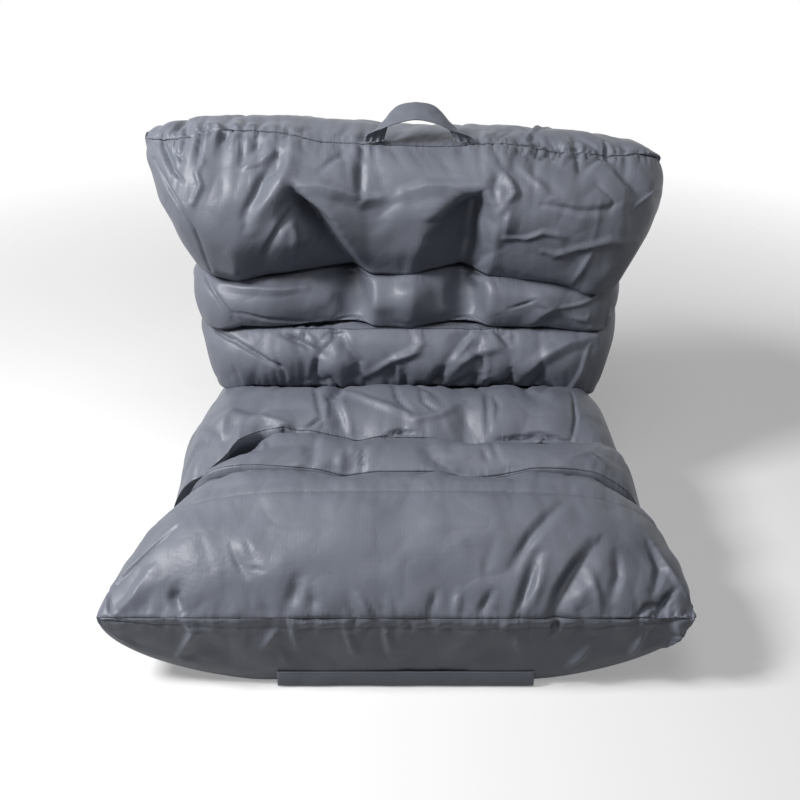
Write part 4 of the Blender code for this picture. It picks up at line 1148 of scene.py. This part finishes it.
gusset = slice(*head.spans["gusset"])
over_gusset = np.sin(np.pi * np.linspace(0, 1, GUSSET_ROWS))[:, None]
grid[gusset, :, 2] -= HANDLE_DIP * over_gusset * np.exp(-(grid[gusset, :, 0] / 0.11) ** 4)
lift(grid, head, head.spans["gusset"][0], TOP_RISE)
EAR_DROP = [(-0.43, 0.0), (-0.363, 0.014), (-0.331, 0.026), (-0.27, 0.0), (0.14, 0.0), (0.22, 0.014),
            (0.30, 0.034), (0.355, 0.060), (0.39, 0.070), (0.43, 0.085)]
droop(grid, head, "front", EAR_DROP, 0.030)
beside = np.abs(grid[:FACE_ROWS, :, 0] - TONGUE_CENTRE)
held = np.clip((TONGUE_HALF - beside) / TONGUE_EDGE, 0, 1)[:, :, None]
grid[:FACE_ROWS, :, 1:] += (np.array(tongue) - np.array(lobes))[:, None, :] * held
draw_in(grid, head, "front", lambda share: share, up_headrest, pinned)
draw_in(grid, head, "low_wall", lambda share: 0.0, lambda share: into_gap(1 - share))
grid = filled("headrest", grid, pinned, np.full(len(grid), EASE), seed=6)
head_fine = Fine(head, grid, [0])
lumps(head_fine, 0.010, 0.15, 83, "front")
lumps(head_fine, 0.010, 0.15, 85, "back")
puckers(head_fine, head_fine.start_of("gusset"), 0.0100, 0.020, 0.016, 61,
        [(-0.36, 0.12, 1.3), (0.30, 0.16, 1.2), (-0.08, 0.05, 0.7)], 0.25, (1.0, 0.7, 0.25))
puckers(head_fine, 0, 0.0050, 0.014, 0.022, 67, even=0.3)
topstitch(head_fine, head_fine.start_of("gusset"), 0.0, 0.0035, 0.0035)
puckers(head_fine, head_fine.start_of("back"), 0.0050, 0.018, 0.022, 71)
HEAD_NODES = ("headrest_panel", "top_gusset", "headrest_back", "headrest_side_left", "headrest_side_right",
              "headrest_filling")
creases(head_fine, 24, 110, 0.0040, ("front",))
creases(head_fine, 14, 111, 0.0030, ("gusset",), 0.4)
creases(head_fine, 50, 112, 0.0045, ("back",))
HEAD_FOLDS = {
    "front": [
        (9, 14, 26, (245, 218), (256, 193), (263, 175), (279, 154)),
        (-7, 22, 28, (251, 223), (272, 196), (287, 171), (290, 147)),
        (6, 22, 10, (241, 164), (254, 150), (263, 140)),
        (-4, 8, 8, (240, 169), (256, 165), (281, 149)),
        (8, 20, 9, (361, 199), (362, 179), (361, 157)),
        (4, 10, 12, (319, 171), (333, 159), (347, 152)),
        (-7, 16, 22, (297, 187), (319, 186), (342, 193), (361, 200), (381, 198)),
        (-6, 18, 26, (404, 193), (427, 186), (452, 186), (478, 189)),
        (9, 12, 16, (173, 171), (167, 155), (163, 142)),
        (5, 6, 6, (185, 162), (174, 151)),
        (5, 6, 6, (183, 182), (174, 170)),
        (-5, 9, 9, (192, 204), (201, 186), (197, 173), (202, 162)),
        (5, 7, 5, (211, 271), (199, 241), (194, 229), (172, 193), (154, 159)),
        (5, 9, 14, (265, 252), (278, 229), (292, 209)),
        (-4, 9, 9, (292, 261), (295, 239), (292, 225)),
        (4, 8, 8, (265, 179), (276, 171), (283, 159)),
        (6, 20, 12, (496, 207), (495, 189), (500, 171)),
        (-7, 14, 12, (505, 208), (515, 193), (507, 179), (500, 170)),
        (-5, 10, 16, (552, 199), (536, 184), (521, 168)),
        (4, 9, 11, (543, 204), (561, 207), (579, 211), (609, 209), (618, 202)),
        (-5, 8, 26, (505, 235), (507, 221), (511, 209)),
        (-4, 7, 9, (504, 238), (525, 238), (543, 232), (566, 236)),
        (-4, 8, 9, (543, 251), (555, 255), (579, 248), (611, 241), (634, 233)),
        (8, 22, 34, (632, 209), (636, 186), (621, 171), (608, 160)),
        (-4, 6, 6, (632, 211), (646, 198), (660, 188)),
        (-3, 7, 7, (573, 282), (584, 266), (593, 252)),
        (3, 5, 5, (611, 207), (614, 200), (596, 184)),
        (6, 6, 6, (471, 266), (480, 257), (489, 252)),
        (-6, 60, 34, (412, 271), (423, 236), (443, 207), (477, 189)),
    ],
    "gusset": [
        (11, 5, 6, (191, 138), (202, 135), (219, 131)),
        (6, 9, 9, (176, 132), (190, 120)),
        (5, 6, 6, (228, 127), (236, 133)),
        (6, 6, 6, (290, 137), (288, 127)),
        (-5, 7, 9, (523, 147), (525, 141), (536, 131), (548, 129)),
        (8, 5, 6, (607, 156), (604, 141)),
        (-4, 7, 8, (609, 144), (636, 157), (659, 160)),
        (5, 8, 8, (496, 143), (507, 134)),
    ],
}
folds(head_fine, HEAD_FOLDS)
cover_object("headrest_cover", head_fine, "headrest", HEAD_NODES,
             [(0, 0.0, 0.7), (head_fine.start_of("gusset"), 0.0, 1.3),
              (head_fine.start_of("back"), 0.0, 0.8)])

# %% [markdown]
# ## Creases between the cells
# On the sides and the back the real cover runs on from cell to cell, and its slack lies folded into each gap.
# A ribbon from rim to rim, drawn in along its middle, makes that fold. One edge lies on one cell and one edge
# on the other. Longer covers could overlap there, but they would cut through each other when the back
# reclines.


# %% Creases
CREASE_STEPS, END_POINTS = 13, 10
CORE_HALF = 0.30  # a ribbon is drawn in towards a core line that runs this far to each side


def along_rim(fine, seam_row, rim_row, front_share, count=90):
    """Points from the front of one side, round that side, across the back and round the other side."""
    columns = np.arange(fine.grid.shape[1])
    last = columns[-1]
    inner = np.linspace(last * front_share, 0.0, 12)

    def points(row, places):
        return np.stack([np.interp(places, columns, fine.grid[row, :, axis]) for axis in range(3)], 1)

    rim = points(rim_row, np.linspace(0.0, last, count))
    return np.vstack([points(seam_row, inner)[:-1], rim, points(seam_row, last - inner[::-1])[1:]])


def crease(name, lower, lower_rows, upper, upper_rows, depth, front_share=0.09):
    """A ribbon between two covers. lower_rows and upper_rows are the seam row and the rim row of each cover.
    """
    low = along_rim(lower, *lower_rows, front_share)
    high = along_rim(upper, *upper_rows, front_share)
    middle = (low + high) / 2
    core = middle.copy()
    core[:, 0] = np.clip(core[:, 0], -CORE_HALF, CORE_HALF)
    core[:, 1:] = middle[:, 1:].mean(0)
    inward = core - middle
    inward /= np.maximum(np.linalg.norm(inward, axis=1, keepdims=True), 1e-6)
    count = np.arange(len(low))
    share = np.linspace(0, 1, CREASE_STEPS)
    ends = np.clip(np.minimum(count, count[::-1]) / END_POINTS, 0, 1)
    drawn = depth * ends * (0.8 + 0.35 * field(middle[:, 0] * 9.0, middle[:, 1] * 9.0, 5))
    section = (1 - np.abs(2 * share - 1) ** 1.5)[None, :]
    grid = low[:, None] * (1 - share[None, :, None]) + high[:, None] * share[None, :, None]
    small = creased(field(count[:, None] * 0.55, share[None, :] * 0.8, 9)) * 0.006 * ends[:, None]
    grid = grid + inward[:, None] * ((drawn[:, None] + small) * section)[:, :, None]
    here = numbered(len(low), CREASE_STEPS)
    faces = np.stack([here[:-1, :-1], here[1:, :-1], here[1:, 1:], here[:-1, 1:]], 2).reshape(-1, 4)
    made = mesh_object(name, grid, faces.tolist())
    made.data.materials.append(nylon)
    made.data.shade_smooth()
    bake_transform(made)
    print(name, len(made.data.polygons), "faces")


def starts(fine, *names):
    """The first rows of the named panels."""
    return [fine.start_of(name) for name in names]


crease("knee_crease", front_fine, starts(front_fine, "wall", "base"), roll_fine,
       starts(roll_fine, "seat", "front_wall"),
       0.02)
crease("seat_crease", roll_fine, starts(roll_fine, "wall", "base"), seat_fine,
       starts(seat_fine, "seat", "front_wall"),
       0.02)
crease("waist_crease", seat_fine, starts(seat_fine, "wall", "rear"), lower, starts(lower, "seat", "low_wall"),
       0.05)
crease("lumbar_crease", lower, starts(lower, "wall", "back"), upper, starts(upper, "seat", "low_wall"),
       0.03)
crease("neck_crease", upper, starts(upper, "wall", "back"), head_fine, starts(head_fine, "front", "low_wall"),
       0.03)
WELTS = ((front_cover, "knee_seam_welt"), (roll_cover, "seat_seam_welt"), (seat_cover, "waist_seam_welt"),
         (lower_cover, "lumbar_seam_welt"), (upper_cover, "neck_seam_welt"))
for cover, node in WELTS:
    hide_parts(node)

# %% [markdown]
# ## Carry handle
# A strap of the cover fabric, folded to four layers and sewn along both edges. Both feet are pleated into the
# gathered top seam, flat to the front. From there the strap turns a quarter as it rises, so over the top it
# lies with its width from front to back. A curve with a flat bevel could do it, but a grid of rings can turn,
# narrow and take pleats at its feet.

# %% Carry handle
STRAP_WIDTH, STRAP_THICK = 0.045, 0.0032
HANDLE_PATH = [(-0.060, 0.219, 0.752), (-0.055, 0.220, 0.768), (-0.041, 0.221, 0.788), (-0.014, 0.222, 0.803),
               (0.020, 0.222, 0.810), (0.056, 0.222, 0.803), (0.087, 0.221, 0.784), (0.106, 0.220, 0.766),
               (0.114, 0.219, 0.752)]
HANDLE_TURN = [0.0, 18.0, 60.0, 88.0, 90.0, 92.0, 120.0, 160.0, 180.0]  # degrees, at the same points
HANDLE_LEAN = 33.0  # over the top the strap's rear edge is the higher one, by this angle
FOOT_NARROWING = 0.16
PLEAT_DEPTH, CRUMPLE_DEPTH = 0.0032, 0.0016


def smooth_path(points, steps):
    """Points along a smooth curve that passes through each point of a rough path."""
    points = np.asarray(points, float)
    points = points[:, None] if points.ndim == 1 else points
    padded = np.vstack([2 * points[0] - points[1], points, 2 * points[-1] - points[-2]])
    places = np.linspace(0, len(points) - 1, steps)
    index = np.minimum(places.astype(int), len(points) - 2)
    share = (places - index)[:, None]
    a, b, c, d = (padded[index + offset] for offset in range(4))
    return 0.5 * (2 * b + (c - a) * share + (2 * a - 5 * b + 4 * c - d) * share ** 2
                  + (3 * b - a - 3 * c + d) * share ** 3)


def strap(name, path, widths, thick, pleats):
    """A flat closed strap along a path. widths holds each ring's half width as a vector."""
    along = np.gradient(path, axis=0)
    along /= np.linalg.norm(along, axis=1, keepdims=True)
    flat = np.cross(along, widths)
    flat /= np.linalg.norm(flat, axis=1, keepdims=True)
    across = np.linspace(-1, 1, 17)
    edge = thick / 2 * (1 - 0.45 * np.exp(-(((np.abs(across) - 0.82) / 0.06) ** 2))) * (
        1 - np.abs(across) ** 14) ** 0.5
    middle = path[:, None] + widths[:, None] * across[None, :, None]
    middle = middle + flat[:, None] * pleats(across)[:, :, None]
    front, rear = (middle + side * flat[:, None] * edge[None, :, None] for side in (1, -1))
    grid = np.concatenate([front, rear[:, ::-1][:, 1:-1]], 1)
    here = numbered(*grid.shape[:2])
    after = np.roll(here, -1, 1)
    faces = np.stack([here[:-1], after[:-1], after[1:], here[1:]], 2).reshape(-1, 4).tolist()
    made = mesh_object(name, grid, faces + [here[0].tolist(), here[-1, ::-1].tolist()])
    made.data.shade_smooth()
    return made


STRAP_STEPS = 90
path = smooth_path(HANDLE_PATH, STRAP_STEPS)
turn = np.radians(smooth_path(HANDLE_TURN, STRAP_STEPS)[:, 0])
lean = math.radians(HANDLE_LEAN)
sideways = np.stack([np.cos(turn), np.sin(turn) * math.cos(lean), np.sin(turn) * math.sin(lean)], 1)
foot_share = np.abs(np.linspace(-1, 1, STRAP_STEPS))


def foot_pleats(across):
    """How far the strap stands off its middle plane: pleats at the feet, and a crumple all along."""
    near_foot = np.clip((foot_share - 0.55) / 0.45, 0, 1)[:, None] ** 1.4
    wave = PLEAT_DEPTH * np.sin(across * 9.5 + 0.6)[None, :] * near_foot
    crumple = CRUMPLE_DEPTH * field(across[None, :] * 1.5, foot_share[:, None] * 9.0, 21)
    return wave + crumple


narrow = 1 - FOOT_NARROWING * np.clip((foot_share - 0.6) / 0.4, 0, 1)
handle = strap("carry_strap", path, sideways * (STRAP_WIDTH / 2 * narrow)[:, None], STRAP_THICK, foot_pleats)
handle.data.materials.append(strap_nylon)
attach(handle, "handle")
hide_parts("carry_handle")
print("strap length", round(float(np.linalg.norm(np.diff(path, axis=0), axis=1).sum()), 3))

# %% [markdown]
# ## Zip and its flap
# The cover is filled through a zip low in the front boxing, and a flap of the same nylon hides it. The flap
# is sewn along its top edge and stands a few millimetres off the teeth below. A plain board would look stiff,
# so the flap is a grid whose edges rise and fall with the boxing's rows, and whose foot ripples a little.


# %% Zip flap
def ribbed_finish(name, colour, roughness, axis, scale, depth, strength, *parts):
    """A dull finish with fine ribs, for parts that the frame already has."""
    nodes = Nodes(name, colour, roughness)
    nodes.feed("Normal", nodes.bump(nodes.waves(nodes.place(), axis, scale), depth, strength))
    for part in parts:
        bpy.data.objects[part].data.materials[0] = nodes.material


TAPE_COLOUR, COIL_COLOUR = (0.050, 0.054, 0.068), (0.040, 0.043, 0.052)
ribbed_finish("zip_tape", TAPE_COLOUR, 0.80, "Z", 160.0, 0.0002, 0.8, "zip_upper_tape", "zip_lower_tape")
ribbed_finish("zip_coil", COIL_COLOUR, 0.42, "X", 190.0, 0.0005, 1.0, "zip_chain", "zip_slider")

FLAP_THICK = 0.0014
FLAP_HEIGHTS = (0.003, 0.010, 0.020, 0.028, 0.0346)
FLAP_DEPTHS = (-0.0084, -0.0090, -0.0094, -0.0090, -0.0080)
flap_low, flap_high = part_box("zip_flap")
boxing_first, boxing_last = front_fine.spans["boxing"]
boxing_rows = np.arange(boxing_first, boxing_last)


def zip_flap():
    """A strip of fabric over the boxing rows that the flap spans, sewn at the top and free at the foot."""
    middle = front_fine.grid.shape[1] // 2
    heights = front_fine.grid[boxing_rows, middle, 2]
    across = np.linspace(flap_low.x, flap_high.x, 120)
    levels = np.linspace(flap_low.z + 0.001, flap_high.z - 0.001, 15)
    surface = np.empty((len(levels), len(across), 3))
    for number, level in enumerate(levels):
        row = boxing_rows[np.argmin(np.abs(heights - level))]
        line = front_fine.grid[row]
        for axis in range(3):
            surface[number, :, axis] = np.interp(across, line[:, 0], line[:, axis])
        surface[number, :, 2] += level - heights[row - boxing_first]
    share = np.linspace(0, 1, len(levels))[:, None]
    plane = np.interp(levels, FLAP_HEIGHTS, FLAP_DEPTHS)
    ripple = 0.0008 * field(across[None, :] * 22.0, share * 0.6, 31) * (1 - share)
    stitch = np.exp(-(((share - 0.86) / 0.05) ** 2)) * 0.0006
    surface[:, :, 1] = FRONT_Y + plane[:, None] - ripple + stitch
    return surface


surface = zip_flap()
both = np.concatenate([surface, (surface + np.array([0.0, FLAP_THICK, 0.0]))[::-1]])
here = numbered(*both.shape[:2])
faces = squares(here, np.roll(here, -1, 0)) + [here[:, 0].tolist(), here[::-1, -1].tolist()]
flap = mesh_object("zip_flap_cover", both, faces)
flap.data.shade_smooth()
flap.data.materials.append(nylon)
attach(flap, "front_cushion")
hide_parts("zip_flap")
print("flap", surface.shape[0], "by", surface.shape[1], "points")

# %% [markdown]
# ## Light and ground
# A studio shot on white: a soft light high on the left gives the long highlights, a weak one overhead opens
# the shadows, and a pale floor takes the shadow. The camera and mirror-like rays see pure white behind the
# piece, while a much dimmer white does the lighting. For those rays alone the floor glows a little, which
# keeps its shadow pale. More lamps would light the floor as well, but they would flatten the folds.

# %% Light and ground
AIM = (0.0, 0.0, 0.3)
KEY_PLACE, KEY_SIZE, KEY_POWER = (-1.9, -0.75, 2.25), 0.7, 88.0
TOP_PLACE, TOP_SIZE, TOP_POWER = (0.2, -0.9, 2.8), 1.2, 12.0
SKY_LIGHT = 0.05  # strength of the white for the rays that light the piece
PALE, DIM, GLOW = ((value,) * 3 for value in (0.72, 0.16, 0.28))
FLOOR_HALF, FADE_END, FADE_SPEED = 2.6, 2.0, 0.8
world = bpy.data.worlds.new("studio")
bpy.context.scene.world = world
world.use_nodes = True
tree = world.node_tree
background = tree.nodes["Background"]
background.inputs["Color"].default_value = (1.0, 1.0, 1.0, 1.0)


class Sums(Nodes):
    """The same tools on another node tree."""

    def __init__(self, tree):
        self.tree = tree


def ray(nodes, name):
    """1 for one kind of ray, 0 for the others."""
    return nodes.add("ShaderNodeLightPath", {}, output=name)


def seen(nodes):
    """1 for rays that show the background: straight, mirrored or through glass. 0 for rays that light."""
    mirrored = ray(nodes, "Is Glossy Ray") + ray(nodes, "Is Transmission Ray")
    return (ray(nodes, "Is Camera Ray") + mirrored).maths("MINIMUM", 1.0)


sky = Sums(tree)
tree.links.new((seen(sky) * (1.0 - SKY_LIGHT) + SKY_LIGHT).output, background.inputs["Strength"])


def soft_light(name, place, size, power):
    """A square area lamp that points at the piece."""
    data = bpy.data.lights.new(name, "AREA")
    data.energy, data.size = power, size
    made = bpy.data.objects.new(name, data)
    bpy.context.collection.objects.link(made)
    made.location = place
    made.rotation_euler = (Vector(AIM) - Vector(place)).to_track_quat("-Z", "Y").to_euler()


soft_light("key_light", KEY_PLACE, KEY_SIZE, KEY_POWER)
soft_light("top_light", TOP_PLACE, TOP_SIZE, TOP_POWER)
bpy.context.scene.view_settings.view_transform = "Standard"

corners = np.array([(-1, -1, 0), (1, -1, 0), (1, 1, 0), (-1, 1, 0)]) * FLOOR_HALF
floor = mesh_object("studio_floor", corners, [(0, 1, 2, 3)])
floor_finish = Nodes("studio_floor", PALE, 0.9, Emission_Strength=1.0)
shown = seen(floor_finish)
floor_finish.feed("Base Color", floor_finish.mix(shown, DIM, PALE))
floor_finish.feed("Emission Color", floor_finish.mix(shown, (0.0, 0.0, 0.0), GLOW))
faded = floor_finish.place().maths("LENGTH") * -FADE_SPEED + FADE_END
floor_finish.feed("Alpha", faded.maths("MINIMUM", 1.0).maths("MAXIMUM", 0.0))
floor.data.materials.append(floor_finish.material)
print("two lights and a floor")
